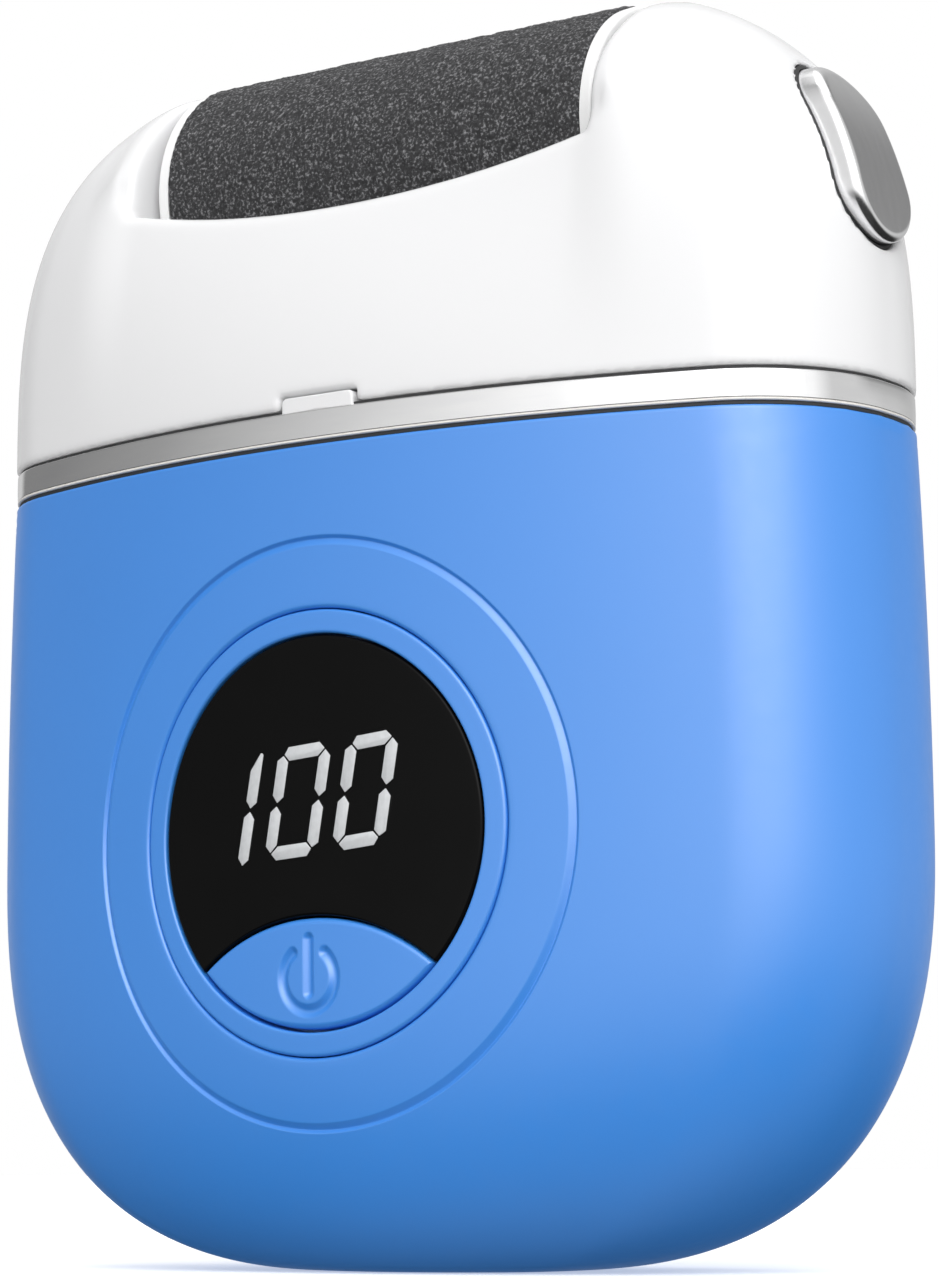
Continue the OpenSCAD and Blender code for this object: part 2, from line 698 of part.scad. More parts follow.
// The outer face is close to a circular arc in front view. It stands about 1 mm
// proud of the shoulder at the bottom and 2 mm at the top.
module release_button() {
    color([0.8, 0.81, 0.83]) difference() {
        intersection() {
            button_prism(31.6, 42, 0);
            rod_y(-12, 12, 26, 72, 13.8, 192);
        }
        // hollow back that takes the stem's head
        button_prism(30, 31.65, 1);
        rod_x(30, 33.2, 2.3, roller_z, fn = 48);
    }
}
module release_stem() {
    color([0.93, 0.93, 0.93]) union() {
        rod_x(pin_end + 0.15, 33, 1.6, roller_z, fn = 48);
        rod_x(30.5, 31.5, 3, roller_z, fn = 48);
        rod_x(31.5, 33.1, 2.25, roller_z, fn = 48);
    }
}
module release_spring() {
    color([0.7, 0.7, 0.72]) coil_x(24.05, 30.35, 2.5, 0.3, 5, roller_z);
}

body_casing();
seam_gasket();
trim_band();
head_housing();
head_latch_tab();
chassis_collar();
chassis_frame();
gear_plate();
gear_cover();
idler_axles();
drive_bush();
idle_bush();
motor_can();
motor_end_cap();
motor_terminals();
battery_cell();
battery_tabs();
main_pcb();
pcb_parts();
display_module();
display_window();
display_digits();
display_bezel();
power_switch();
charge_pcb();
usb_c_shell();
usb_c_tongue();
head_screws();
motor_screws();
abrasive_sleeve();
roller_tube();
roller_cap_drive();
roller_cap_idle();
drive_spindle();
roller_gear();
idle_pin();
idle_pin_spring();
idler_gear_a();
idler_gear_b();
motor_shaft();
motor_pinion();
power_button();
release_button();
release_stem();
release_spring();
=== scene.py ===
import json
import math

import bmesh
import bpy
import numpy as np
from mathutils import Matrix, Vector


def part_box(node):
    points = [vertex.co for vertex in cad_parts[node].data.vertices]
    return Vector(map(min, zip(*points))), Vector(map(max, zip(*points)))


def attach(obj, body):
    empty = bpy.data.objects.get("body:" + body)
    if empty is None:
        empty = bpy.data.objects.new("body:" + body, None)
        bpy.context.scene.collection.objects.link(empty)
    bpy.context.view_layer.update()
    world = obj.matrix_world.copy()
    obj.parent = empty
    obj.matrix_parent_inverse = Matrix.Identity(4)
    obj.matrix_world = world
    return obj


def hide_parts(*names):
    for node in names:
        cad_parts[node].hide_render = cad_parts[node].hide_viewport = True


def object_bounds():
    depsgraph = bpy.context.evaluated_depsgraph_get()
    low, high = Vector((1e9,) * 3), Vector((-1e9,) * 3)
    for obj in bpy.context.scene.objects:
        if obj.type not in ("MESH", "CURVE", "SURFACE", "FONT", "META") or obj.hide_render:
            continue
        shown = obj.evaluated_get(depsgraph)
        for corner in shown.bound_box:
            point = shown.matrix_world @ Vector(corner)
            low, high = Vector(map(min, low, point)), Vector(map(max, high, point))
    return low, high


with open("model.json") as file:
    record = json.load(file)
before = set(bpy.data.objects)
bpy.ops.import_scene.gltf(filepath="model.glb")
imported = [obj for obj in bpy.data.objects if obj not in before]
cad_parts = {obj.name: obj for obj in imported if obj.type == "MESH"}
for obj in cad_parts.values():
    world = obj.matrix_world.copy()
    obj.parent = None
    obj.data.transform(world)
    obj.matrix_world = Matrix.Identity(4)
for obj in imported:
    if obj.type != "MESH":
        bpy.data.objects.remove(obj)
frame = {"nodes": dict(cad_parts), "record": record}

cad_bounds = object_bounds()
record = frame["record"]
SLOT = {s["node"]: s["material_slot"] for s in record["subparts"]}
BODY = {n: b for b, ns in record["behaviour"]["bodies"].items() for n in ns}
MM = 0.001
TAU = 2 * math.pi


def mm(node):
    lo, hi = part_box(node)
    return np.array(lo) * 1000, np.array(hi) * 1000


# ------------------------------------------------------------------ sizes

case_lo, case_hi = mm("body_casing")
band_lo, band_hi = mm("trim_band")
head_lo, head_hi = mm("head_housing")
bez_lo, bez_hi = mm("display_bezel")
win_lo, win_hi = mm("display_window")
slv_lo, slv_hi = mm("abrasive_sleeve")
pow_lo, pow_hi = mm("power_button")
rel_lo, rel_hi = mm("release_button")
tab_lo, tab_hi = mm("head_latch_tab")
gas_lo, gas_hi = mm("seam_gasket")

HA, HB, TOP = case_hi[0], case_hi[1], case_hi[2]
HEAD_Z = head_lo[2]
RF, RC = 103.0, 12.0
XC = HA - RC
YC = RF - HB - math.sqrt((RF - RC) ** 2 - XC ** 2)      # negative: the corner arcs' centres
T0 = math.asin(XC / (RF - RC))
XT = RF * math.sin(T0)
DZ = (bez_lo[2] + bez_hi[2]) / 2                        # centre of the display
RB = (bez_hi[0] - bez_lo[0]) / 2                        # outer radius of the bezel ring
RW = (win_hi[0] - win_lo[0]) / 2                        # radius of the window
spin = next(j for j in record["behaviour"]["joints"] if j["name"] == "roller_spin")
AX = spin["pos_m"][2] * 1000                            # height of the roller's axis
RR = (slv_hi[2] - slv_lo[2]) / 2                        # outer radius of the sleeve
RH = slv_hi[0]                                          # half length of the sleeve
LENS_Z, LENS_R = 8.85, 16.85


def quarter(u, k):
    u = np.clip(u, 0, 1)
    return np.power(np.clip(1 - np.power(u, k), 0, 1), 1 / k)


def body_a(z):
    z = np.asarray(z, float)
    return 8 + (HA - 8) * quarter(1 - z / 31.3, 2.45) - np.where(z > 31.3, 0.75 * ((z - 31.3) / 29.3) ** 2, 0)


def body_b(z):
    return 5.6 + (HB - 5.6) * quarter(1 - np.asarray(z, float) / 24.9, 2.8)


def plan_y(X):
    """Half depth of the full-size outline at X."""
    X = np.minimum(np.abs(X), HA)
    arc = np.sqrt(RF ** 2 - np.minimum(X, XT) ** 2) - (RF - HB)
    corner = -YC + np.sqrt(np.clip(RC ** 2 - (X - XC) ** 2, 0, None))
    return np.where(X <= XT, arc, corner)


def face_y(x, z):
    """Depth of the body's front or rear face at x, z (positive)."""
    return plan_y(x * HA / body_a(z)) * body_b(z) / HB


def outline(a, b, n):
    """Closed smooth outline in plan with half width a and half depth b, as n points."""
    # dense samples of one quarter, then spaced evenly along the curve
    t = np.linspace(0, T0, 200)
    q = np.stack([RF * np.sin(t), -HB + RF - RF * np.cos(t)], 1)
    t = np.linspace(T0, math.pi / 2, 200)[1:]
    c = np.stack([XC + RC * np.sin(t), YC - RC * np.cos(t)], 1)
    q = np.concatenate([q, c, [[HA, 0]]])
    half = np.concatenate([q, q[::-1][1:] * [1, -1]])
    full = np.concatenate([half, half[::-1][1:-1] * [-1, 1]])
    full = full * [a / HA, b / HB]
    loop = np.concatenate([full, full[:1]])
    s = np.concatenate([[0], np.cumsum(np.hypot(*np.diff(loop, axis=0).T))])
    u = np.linspace(0, s[-1], n, endpoint=False)
    return np.stack([np.interp(u, s, loop[:, 0]), np.interp(u, s, loop[:, 1])], 1)


# ------------------------------------------------------------------ meshes

def mesh_object(name, verts, faces, mat, body, nodes=(), sharp=None, recalc=True, normals=None):
    me = bpy.data.meshes.new(name)
    faces = [f for f in faces if len(f)]
    v = np.asarray(verts, float) * MM
    quads = np.concatenate([np.asarray(f, np.int64).reshape(-1) for f in faces])
    counts = np.concatenate([np.full(len(f), np.asarray(f).shape[1]) for f in faces])
    me.vertices.add(len(v))
    me.vertices.foreach_set("co", v.astype(np.float32).ravel())
    me.loops.add(len(quads))
    me.loops.foreach_set("vertex_index", quads.astype(np.int32))
    me.polygons.add(len(counts))
    starts = np.concatenate([[0], np.cumsum(counts)[:-1]])
    me.polygons.foreach_set("loop_start", starts.astype(np.int32))
    me.polygons.foreach_set("use_smooth", np.ones(len(counts), bool))
    me.update(calc_edges=True)
    me.validate()
    if recalc:
        bm = bmesh.new()
        bm.from_mesh(me)
        bmesh.ops.remove_doubles(bm, verts=bm.verts, dist=1e-7)
        bmesh.ops.dissolve_degenerate(bm, edges=bm.edges, dist=1e-8)
        bmesh.ops.recalc_face_normals(bm, faces=bm.faces)
        bm.to_mesh(me)
        bm.free()
    if sharp:
        me.set_sharp_from_angle(angle=math.radians(sharp))
    if normals is not None:
        me.normals_split_custom_set_from_vertices(normals)
    o = bpy.data.objects.new(name, me)
    bpy.context.scene.collection.objects.link(o)
    me.materials.append(mat)
    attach(o, body)
    if nodes:
        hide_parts(*nodes)
    return o


def grid_faces(n_rings, k, closed_rings=False):
    """Quads between rings of k points; each ring closes on itself."""
    j = np.arange(n_rings if closed_rings else n_rings - 1)[:, None]
    i = np.arange(k)[None, :]
    j2 = (j + 1) % n_rings
    i2 = (i + 1) % k
    return np.stack([j * k + i, j * k + i2, j2 * k + i2, j2 * k + i], -1).reshape(-1, 4)


def fan(centre, ring0, k, flip=False):
    i = np.arange(k)
    f = np.stack([np.full(k, centre), ring0 + i, ring0 + (i + 1) % k], 1)
    return f[:, ::-1] if flip else f


def angles(n, extra=()):
    a = list(np.linspace(0, TAU, n, endpoint=False))
    for e in extra:
        e %= TAU
        a = [t for t in a if abs((t - e + math.pi) % TAU - math.pi) > TAU / n * 0.35] + [e]
    return np.array(sorted(a))


def plate(name, centre, th, rings, place, mat, body, nodes, front_w, back_w, sharp=40):
    """Closed plate around a centre: rings is a list of (radius, height) arrays over th, from the
    centre of the front face out over the edge and on to the back."""
    k = len(th)
    pts = [np.array([[centre[0], centre[1], front_w]])]
    for r, w in rings:
        r = np.broadcast_to(r, (k,))
        w = np.broadcast_to(w, (k,)) if not callable(w) else w(centre[0] + r * np.cos(th), centre[1] + r * np.sin(th))
        pts.append(np.stack([centre[0] + r * np.cos(th), centre[1] + r * np.sin(th), w], 1))
    pts.append(np.array([[centre[0], centre[1], back_w]]))
    p = np.concatenate(pts)
    n = len(rings)
    quads = grid_faces(n, k) + 1
    tris = np.concatenate([fan(0, 1, k), fan(len(p) - 1, 1 + (n - 1) * k, k, True)])
    return mesh_object(name, place(p), [quads, tris], mat, body, nodes, sharp)


def on_front(p):
    """(x, z, height towards the front) to x, y, z."""
    return np.stack([p[:, 0], -p[:, 2], p[:, 1]], 1)


def on_right(p):
    return np.stack([p[:, 2], p[:, 0], p[:, 1]], 1)


def lathe(name, profile, k, mat, body, nodes, sharp=35):
    """Closed profile of (x, r) turned about the roller's axis; r may be an array over the angle."""
    th = np.linspace(0, TAU, k, endpoint=False)
    rings = []
    for x, r in profile:
        r = np.broadcast_to(r, (k,))
        rings.append(np.stack([np.full(k, x), r * np.sin(th), AX + r * np.cos(th)], 1))
    return mesh_object(name, np.concatenate(rings), [grid_faces(len(rings), k, True)], mat, body, nodes, sharp)


def arc_pts(cx, cy, r, a0, a1, n):
    return [(cx + r * math.cos(math.radians(a)), cy + r * math.sin(math.radians(a))) for a in np.linspace(a0, a1, n)]


# ------------------------------------------------------------------ materials

def srgb(*c):
    c = np.array(c, float) / 255
    return tuple(np.where(c <= 0.04045, c / 12.92, ((c + 0.055) / 1.055) ** 2.4)) + (1.0,)


def material(name, base, rough, metal=0.0, coat=0.0, coat_rough=0.05, vary=0.03, vary_scale=60.0,
             rough_vary=0.05, rough_scale=900.0, bump=0.0, bump_scale=3000.0, bump_dist=2e-5,
             stretch=(1, 1, 1), ior=1.5, speckle=None, sheen=0.0, emit=0.0, spec=0.5):
    m = bpy.data.materials.new(name)
    m.use_nodes = True
    nt = m.node_tree
    b = nt.nodes["Principled BSDF"]
    b.inputs["Metallic"].default_value = metal
    b.inputs["IOR"].default_value = ior
    b.inputs["Coat Weight"].default_value = coat
    b.inputs["Coat Roughness"].default_value = coat_rough
    b.inputs["Specular IOR Level"].default_value = spec
    if sheen:
        b.inputs["Sheen Weight"].default_value = sheen
    if emit:
        b.inputs["Emission Color"].default_value = base
        b.inputs["Emission Strength"].default_value = emit
    tc = nt.nodes.new("ShaderNodeTexCoord")
    mp = nt.nodes.new("ShaderNodeMapping")
    mp.inputs["Scale"].default_value = stretch
    nt.links.new(tc.outputs["Object"], mp.inputs["Vector"])

    def noise(scale, detail=3.0, roughness=0.55):
        n = nt.nodes.new("ShaderNodeTexNoise")
        n.inputs["Scale"].default_value = scale
        n.inputs["Detail"].default_value = detail
        n.inputs["Roughness"].default_value = roughness
        nt.links.new(mp.outputs["Vector"], n.inputs["Vector"])
        return n

    n1 = noise(vary_scale)
    ramp = nt.nodes.new("ShaderNodeValToRGB")
    lo = [max(0, c * (1 - vary)) for c in base[:3]]
    hi = [min(1, c * (1 + vary)) for c in base[:3]]
    ramp.color_ramp.elements[0].position = 0.3
    ramp.color_ramp.elements[1].position = 0.7
    ramp.color_ramp.elements[0].color = (*lo, 1)
    ramp.color_ramp.elements[1].color = (*hi, 1)
    nt.links.new(n1.outputs["Fac"], ramp.inputs["Fac"])
    colour = ramp.outputs["Color"]
    if speckle:
        sp_scale, sp_pos, sp_col, dk_pos, dk_col = speckle
        n4 = noise(sp_scale, 2.0, 0.6)
        r4 = nt.nodes.new("ShaderNodeValToRGB")
        e = r4.color_ramp.elements
        e[0].position = dk_pos
        e[0].color = dk_col
        e[1].position = sp_pos
        e[1].color = sp_col
        mid = r4.color_ramp.elements.new((dk_pos + sp_pos) / 2)
        mid.color = base
        nt.links.new(n4.outputs["Fac"], r4.inputs["Fac"])
        mx = nt.nodes.new("ShaderNodeMix")
        mx.data_type = "RGBA"
        mx.inputs["Factor"].default_value = 0.7
        nt.links.new(colour, mx.inputs["A"])
        nt.links.new(r4.outputs["Color"], mx.inputs["B"])
        colour = mx.outputs["Result"]
    nt.links.new(colour, b.inputs["Base Color"])
    n2 = noise(rough_scale)
    mr = nt.nodes.new("ShaderNodeMapRange")
    mr.inputs["From Min"].default_value = 0.3
    mr.inputs["From Max"].default_value = 0.7
    mr.inputs["To Min"].default_value = max(0.02, rough - rough_vary)
    mr.inputs["To Max"].default_value = min(1, rough + rough_vary)
    nt.links.new(n2.outputs["Fac"], mr.inputs["Value"])
    nt.links.new(mr.outputs["Result"], b.inputs["Roughness"])
    if bump:
        n3 = noise(bump_scale, 2.0)
        bp = nt.nodes.new("ShaderNodeBump")
        bp.inputs["Strength"].default_value = bump
        bp.inputs["Distance"].default_value = bump_dist
        nt.links.new(n3.outputs["Fac"], bp.inputs["Height"])
        nt.links.new(bp.outputs["Normal"], b.inputs["Normal"])
    return m


BLUE = material("satin_blue_plastic", srgb(56, 139, 228), 0.36, vary=0.012, vary_scale=45, rough_vary=0.03,
                bump=0.05, bump_scale=5200, bump_dist=1.2e-5, spec=0.9, ior=1.65)
BLUE_GLOSS = material("smooth_blue_plastic", srgb(56, 139, 228), 0.34, vary=0.012, vary_scale=60, rough_vary=0.03,
                      rough_scale=900, bump=0.03, bump_scale=5200, bump_dist=1e-5, spec=0.9, ior=1.65)
WHITE = material("gloss_white_plastic", srgb(234, 234, 235), 0.24, vary=0.006, vary_scale=40, rough_vary=0.03,
                 bump=0.03, bump_scale=4200, bump_dist=1e-5, coat=0.15, coat_rough=0.12)
ROLLER_WHITE = material("roller_white_plastic", srgb(240, 240, 240), 0.38, vary=0.01, rough_vary=0.05,
                        bump=0.06, bump_scale=4000, bump_dist=1.5e-5)
CHROME = material("satin_chrome_band", srgb(253, 253, 254), 0.10, metal=1.0, vary=0.02, vary_scale=160, rough_vary=0.05,
                  rough_scale=2600, bump=0.035, bump_scale=3500, bump_dist=6e-6, stretch=(1, 1, 9))
BUTTON_CHROME = material("button_satin_chrome", srgb(252, 252, 253), 0.20, metal=1.0, vary=0.02, vary_scale=300,
                         rough_vary=0.05, rough_scale=2500, bump=0.04, bump_scale=3000, bump_dist=6e-6, stretch=(1, 6, 1))
GLASS = material("black_display_glass", srgb(12, 12, 12), 0.07, vary=0.1, vary_scale=120, rough_vary=0.03,
                 rough_scale=300, bump=0.015, bump_scale=900, bump_dist=6e-6, spec=0.08)
DIGIT = material("lit_digit", srgb(196, 198, 200), 0.45, vary=0.06, vary_scale=2200, rough_vary=0.05,
                 bump=0.05, bump_scale=5000, emit=0.06)
INK = material("black_mask_ink", srgb(7, 7, 7), 0.6, vary=0.2, vary_scale=1500, rough_vary=0.1, bump=0.05,
               bump_scale=2500, bump_dist=4e-6, spec=0.1)
BEAD = material("polished_bead", srgb(232, 229, 224), 0.30, vary=0.02, vary_scale=300, rough_vary=0.06, bump=0.04,
                bump_scale=2500, bump_dist=8e-6)
RUBBER = material("black_rubber", srgb(50, 50, 51), 0.7, vary=0.15, vary_scale=900, rough_vary=0.1,
                  bump=0.3, bump_scale=3500)
GRIT = material("mineral_grit", srgb(50, 50, 52), 0.78, vary=0.25, vary_scale=2600, rough_vary=0.18, rough_scale=3500,
                bump=0.7, bump_scale=6500, bump_dist=6e-5,
                speckle=(4200, 0.70, srgb(150, 150, 152), 0.36, srgb(30, 30, 31)))
STEEL = material("machined_steel", srgb(176, 178, 181), 0.3, metal=1.0, vary=0.05, vary_scale=400, rough_vary=0.1,
                 rough_scale=3000, bump=0.1, bump_scale=4000, stretch=(1, 8, 8))
BRASS = material("brass", srgb(199, 165, 92), 0.32, metal=1.0, vary=0.06, vary_scale=400, rough_vary=0.1,
                 bump=0.1, bump_scale=4000)
COPPER = material("copper_winding", srgb(168, 92, 55), 0.38, metal=1.0, vary=0.12, vary_scale=900, rough_vary=0.1,
                  bump=0.5, bump_scale=2500, bump_dist=8e-5, stretch=(1, 0.2, 0.2))
FRAME_PLASTIC = material("frame_plastic", srgb(222, 222, 220), 0.55, vary=0.03, rough_vary=0.08, bump=0.2,
                         bump_scale=3000)
GEAR_PLASTIC = material("acetal_gear", srgb(236, 231, 214), 0.42, vary=0.03, rough_vary=0.08, bump=0.12,
                        bump_scale=3500)
BLACK = material("black_plastic", srgb(28, 28, 29), 0.5, vary=0.15, rough_vary=0.1, bump=0.25, bump_scale=3500)
BOARD = material("circuit_board_green", srgb(20, 92, 52), 0.42, vary=0.2, vary_scale=700, rough_vary=0.1, bump=0.2,
                 bump_scale=2500)
WRAP = material("battery_wrap_green", srgb(40, 118, 74), 0.32, vary=0.05, rough_vary=0.06, bump=0.08, bump_scale=900)

KIND = {
    "black_rubber": RUBBER, "frame_plastic": FRAME_PLASTIC, "steel": STEEL, "brass_part": BRASS, "black_plastic": BLACK,
    "battery_wrap": WRAP, "board": BOARD, "gear_plastic": GEAR_PLASTIC, "roller_plastic": ROLLER_WHITE,
    "white_head": WHITE, "blue_body": BLUE, "silver_trim": CHROME, "dark_window": GLASS, "lit_digits": DIGIT,
    "grit": GRIT,
}
for node, o in frame["nodes"].items():
    m = KIND.get(SLOT.get(node), STEEL)
    if node == "motor_shaft":
        m = COPPER
    o.data.materials.clear()
    o.data.materials.append(m)


# ------------------------------------------------------------------ body casing

def casing():
    a_top = float(body_a(TOP))
    corners = [math.atan2(TOP - DZ, a_top), math.atan2(TOP - DZ, -a_top), math.atan2(-DZ, 8), math.atan2(-DZ, -8)]
    th = angles(432, corners)
    k = len(th)
    c, s = np.cos(th), np.sin(th)
    lo, hi = np.full(k, 10.0), np.full(k, 80.0)
    for _ in range(50):
        mid = (lo + hi) / 2
        x, z = mid * c, DZ + mid * s
        ins = (z >= 0) & (z <= TOP) & (np.abs(x) <= body_a(np.clip(z, 0, TOP)))
        lo, hi = np.where(ins, mid, lo), np.where(ins, hi, mid)
    rmax = lo
    hole = RB + 0.06
    near = np.concatenate([
        hole + 0.34 * (1 - np.cos(np.linspace(0, math.pi / 2, 7))),
        np.linspace(hole + 0.34, 20.7, 10)[1:],
        np.linspace(20.7, 21.95, 26)[1:],
        [22.2, 22.7, 23.4]])
    far = 1 - (1 - np.linspace(0, 1, 72)[1:]) ** 2.6
    R = np.concatenate([np.repeat(near[None], k, 0), 23.4 + (rmax[:, None] - 23.4) * far[None]], 1)
    x = R * c[:, None]
    z = np.clip(DZ + R * s[:, None], 0, TOP)
    # the last column sits exactly on the silhouette
    a = body_a(z)
    x = np.clip(x, -a, a)
    y = -face_y(x, z)
    # rounded edge at the bezel ring
    d = np.clip(hole + 0.34 - R, 0, 0.34)
    y += 0.34 - np.sqrt(np.clip(0.34 ** 2 - d ** 2, 0, None))
    # styling groove: a wide inner slope and a steep outer wall
    g1, gm, g2 = 21.05, 21.56, 21.82
    g = np.where(R < gm, (R - g1) / (gm - g1), (g2 - R) / (g2 - gm))
    g = np.clip(g, 0, 1)
    g = g * g * (3 - 2 * g) * 0.35 + g * 0.65
    y += 0.24 * g
    # small radius along the upper edge
    e = np.clip(z - (TOP - 0.3), 0, 0.3)
    f = (0.3 - np.sqrt(np.clip(0.09 - e ** 2, 0, None))) * 0.8
    y *= 1 - f / HB
    x *= 1 - f / HA * 0.9
    n = R.shape[1]
    front = np.stack([x, y, z], -1).transpose(1, 0, 2).reshape(-1, 3)        # rings of k points
    wall = np.stack([hole * c, y[:, 0] + 1.3, DZ + hole * s], 1)
    wall2 = np.stack([hole * c, y[:, 0] + 0.15, DZ + hole * s], 1)
    edge = np.stack([x[:, -1], y[:, -1], z[:, -1]], 1)

    # rear half, around the charging slot
    uz = 14.2
    ph = np.arctan2(edge[:, 2] - uz, edge[:, 0])
    cc, ss = np.cos(ph), np.sin(ph)
    lo, hi = np.zeros(k), np.full(k, 9.0)
    for _ in range(40):
        mid = (lo + hi) / 2
        px, pz = mid * cc, mid * ss
        ins = np.hypot(np.clip(np.abs(px) - 2.84, 0, None), pz) < 1.83
        lo, hi = np.where(ins, mid, lo), np.where(ins, hi, mid)
    rs = lo
    ro = np.hypot(edge[:, 0], edge[:, 2] - uz)
    fil = 0.45 * (1 - np.cos(np.linspace(0, math.pi / 2, 8)))
    t = 1 - (1 - np.linspace(0, 1, 62)[1:]) ** 2.4
    R2 = np.concatenate([rs[:, None] + fil[None], rs[:, None] + 0.45 + (ro - rs - 0.45)[:, None] * t[None]], 1)
    x2 = R2 * cc[:, None]
    z2 = np.clip(uz + R2 * ss[:, None], 0, TOP)
    a2 = body_a(z2)
    x2 = np.clip(x2, -a2, a2)
    y2 = face_y(x2, z2)
    d = np.clip(0.45 - (R2 - rs[:, None]), 0, 0.45)
    y2 -= 0.45 - np.sqrt(np.clip(0.45 ** 2 - d ** 2, 0, None))
    e = np.clip(z2 - (TOP - 0.3), 0, 0.3)
    f = (0.3 - np.sqrt(np.clip(0.09 - e ** 2, 0, None))) * 0.8
    y2 *= 1 - f / HB
    x2 *= 1 - f / HA * 0.9
    x2[:, -1], z2[:, -1] = edge[:, 0], edge[:, 2]
    y2[:, -1] = -edge[:, 1]
    n2 = R2.shape[1]
    rear = np.stack([x2, y2, z2], -1).transpose(1, 0, 2).reshape(-1, 3)
    rwall = np.stack([rs * cc, y2[:, 0] - 0.2, uz + rs * ss], 1)
    rwall2 = np.stack([rs * cc, y2[:, 0] - 1.3, uz + rs * ss], 1)

    v = np.concatenate([wall, wall2, front, rear, rwall, rwall2])
    # rings: wall, wall2, front 0..n-1, then the rear from its outer ring inwards
    order = [0, 1] + [2 + j for j in range(n)] + [2 + n + j for j in range(n2 - 1, -1, -1)] + [2 + n + n2, 3 + n + n2]
    quads = []
    i = np.arange(k)
    i2 = (i + 1) % k
    top = (edge[:, 2] > TOP - 1e-3)
    for p, q in zip(order[:-1], order[1:]):
        f = np.stack([p * k + i, q * k + i, q * k + i2, p * k + i2], 1)
        if p == 1 + n:                       # strip between front and rear: open along the top
            f = f[~(top & top[i2])]
        quads.append(f)
    o = mesh_object("casing_shell", v, quads, BLUE, "housing", ["body_casing"], None)
    me = o.data
    # the mesh is open, so point the normals outwards by one known face
    far_face = max(me.polygons, key=lambda p: -p.center.y if abs(p.center.x) < 0.03 and p.center.z > 0.055 else -1)
    if far_face.normal.y > 0:
        me.flip_normals()
    mod = o.modifiers.new("wall", "SOLIDIFY")
    mod.thickness = 1.5 * MM
    mod.offset = -1
    mod.use_even_offset = False
    dg = bpy.context.evaluated_depsgraph_get()
    me2 = bpy.data.meshes.new_from_object(o.evaluated_get(dg))
    o.modifiers.clear()
    o.data = me2
    me2.set_sharp_from_angle(angle=math.radians(50))
    return o


casing()

# ------------------------------------------------------------------ bezel, window, digits, power button

FACE_IN = 0.03          # the bezel sits a hair behind the body's face


def bezel_w(x, z):
    return plan_y(x) * body_b(z) / HB - FACE_IN


def bezel():
    k = 384
    th = np.linspace(0, TAU, k, endpoint=False)
    ri, ro, f1, f2 = RW + 0.12, RB - 0.03, 0.22, 0.24
    prof = []
    for a in np.linspace(0, 90, 7):
        prof.append((ri + f1 * (1 - math.cos(math.radians(a))), -f1 * (1 - math.sin(math.radians(a)))))
    for r in np.linspace(ri + f1, ro - f2, 8)[1:-1]:
        prof.append((r, 0))
    for a in np.linspace(90, 0, 7):
        prof.append((ro - f2 + f2 * math.cos(math.radians(a)), -f2 * (1 - math.sin(math.radians(a)))))
    back = -bez_hi[1]
    rings = []
    for r, dw in prof:
        x, z = r * np.cos(th), DZ + r * np.sin(th)
        rings.append(np.stack([x, -(bezel_w(x, z) + dw), z], 1))
    for r in (ro, ri - 1.0):
        rings.append(np.stack([r * np.cos(th), np.full(k, bez_hi[1]), DZ + r * np.sin(th)], 1))
    rings.append(np.stack([(ri - 1.0) * np.cos(th), np.full(k, bez_hi[1] - 1.6), DZ + (ri - 1.0) * np.sin(th)], 1))
    rings.append(np.stack([ri * np.cos(th), np.full(k, bez_hi[1] - 1.6), DZ + ri * np.sin(th)], 1))
    mesh_object("bezel_ring", np.concatenate(rings), [grid_faces(len(rings), k, True)], BLUE, "housing",
                ["display_bezel"], 50)


bezel()

GLASS_IN = 0.14


def glass_w(x, z):
    return plan_y(x) - GLASS_IN


def cross_angles(ra, rb_, cz):
    """Corners where the disc about the display centre meets the lens circle, seen from (0, cz)."""
    d = DZ - LENS_Z
    z = (rb_ ** 2 - ra ** 2 + d ** 2) / (2 * d) + LENS_Z
    x = math.sqrt(rb_ ** 2 - (z - LENS_Z) ** 2)
    return x, z, [math.atan2(z - cz, x), math.atan2(z - cz, -x)]


def window():
    ra, rl, cz = RW - 0.02, LENS_R + 0.14, DZ + 2.5
    x0, z0, extra = cross_angles(ra, rl, cz)
    th = angles(384, extra)
    c, s = np.cos(th), np.sin(th)
    # from the centre to the disc, or to the lens arc below
    q = cz - DZ
    t_disc = -q * s + np.sqrt(np.clip(ra ** 2 - (q * c) ** 2, 0, None))
    h = cz - LENS_Z
    disc = rl ** 2 - (h * c) ** 2
    t_lens = np.where((disc > 0) & (s < 0), -h * s - np.sqrt(np.clip(disc, 0, None)), 1e9)
    rb = np.minimum(t_disc, t_lens)
    rings = []
    for t in np.linspace(0, 1, 26)[1:-1]:
        r = (rb - 0.24) * t
        rings.append((r, glass_w))
    for a in np.linspace(0, 90, 7):
        off, dw = 0.24 * (1 - math.sin(math.radians(a))), 0.24 * (1 - math.cos(math.radians(a)))
        rings.append((rb - off, lambda x, z, dw=dw: glass_w(x, z) - dw))
    back = -win_hi[1]
    rings.append((rb, back))
    plate("window_glass", (0, cz), th, rings, on_front, GLASS, "housing", ["display_window"],
          float(glass_w(0, cz)), back, 50)


window()


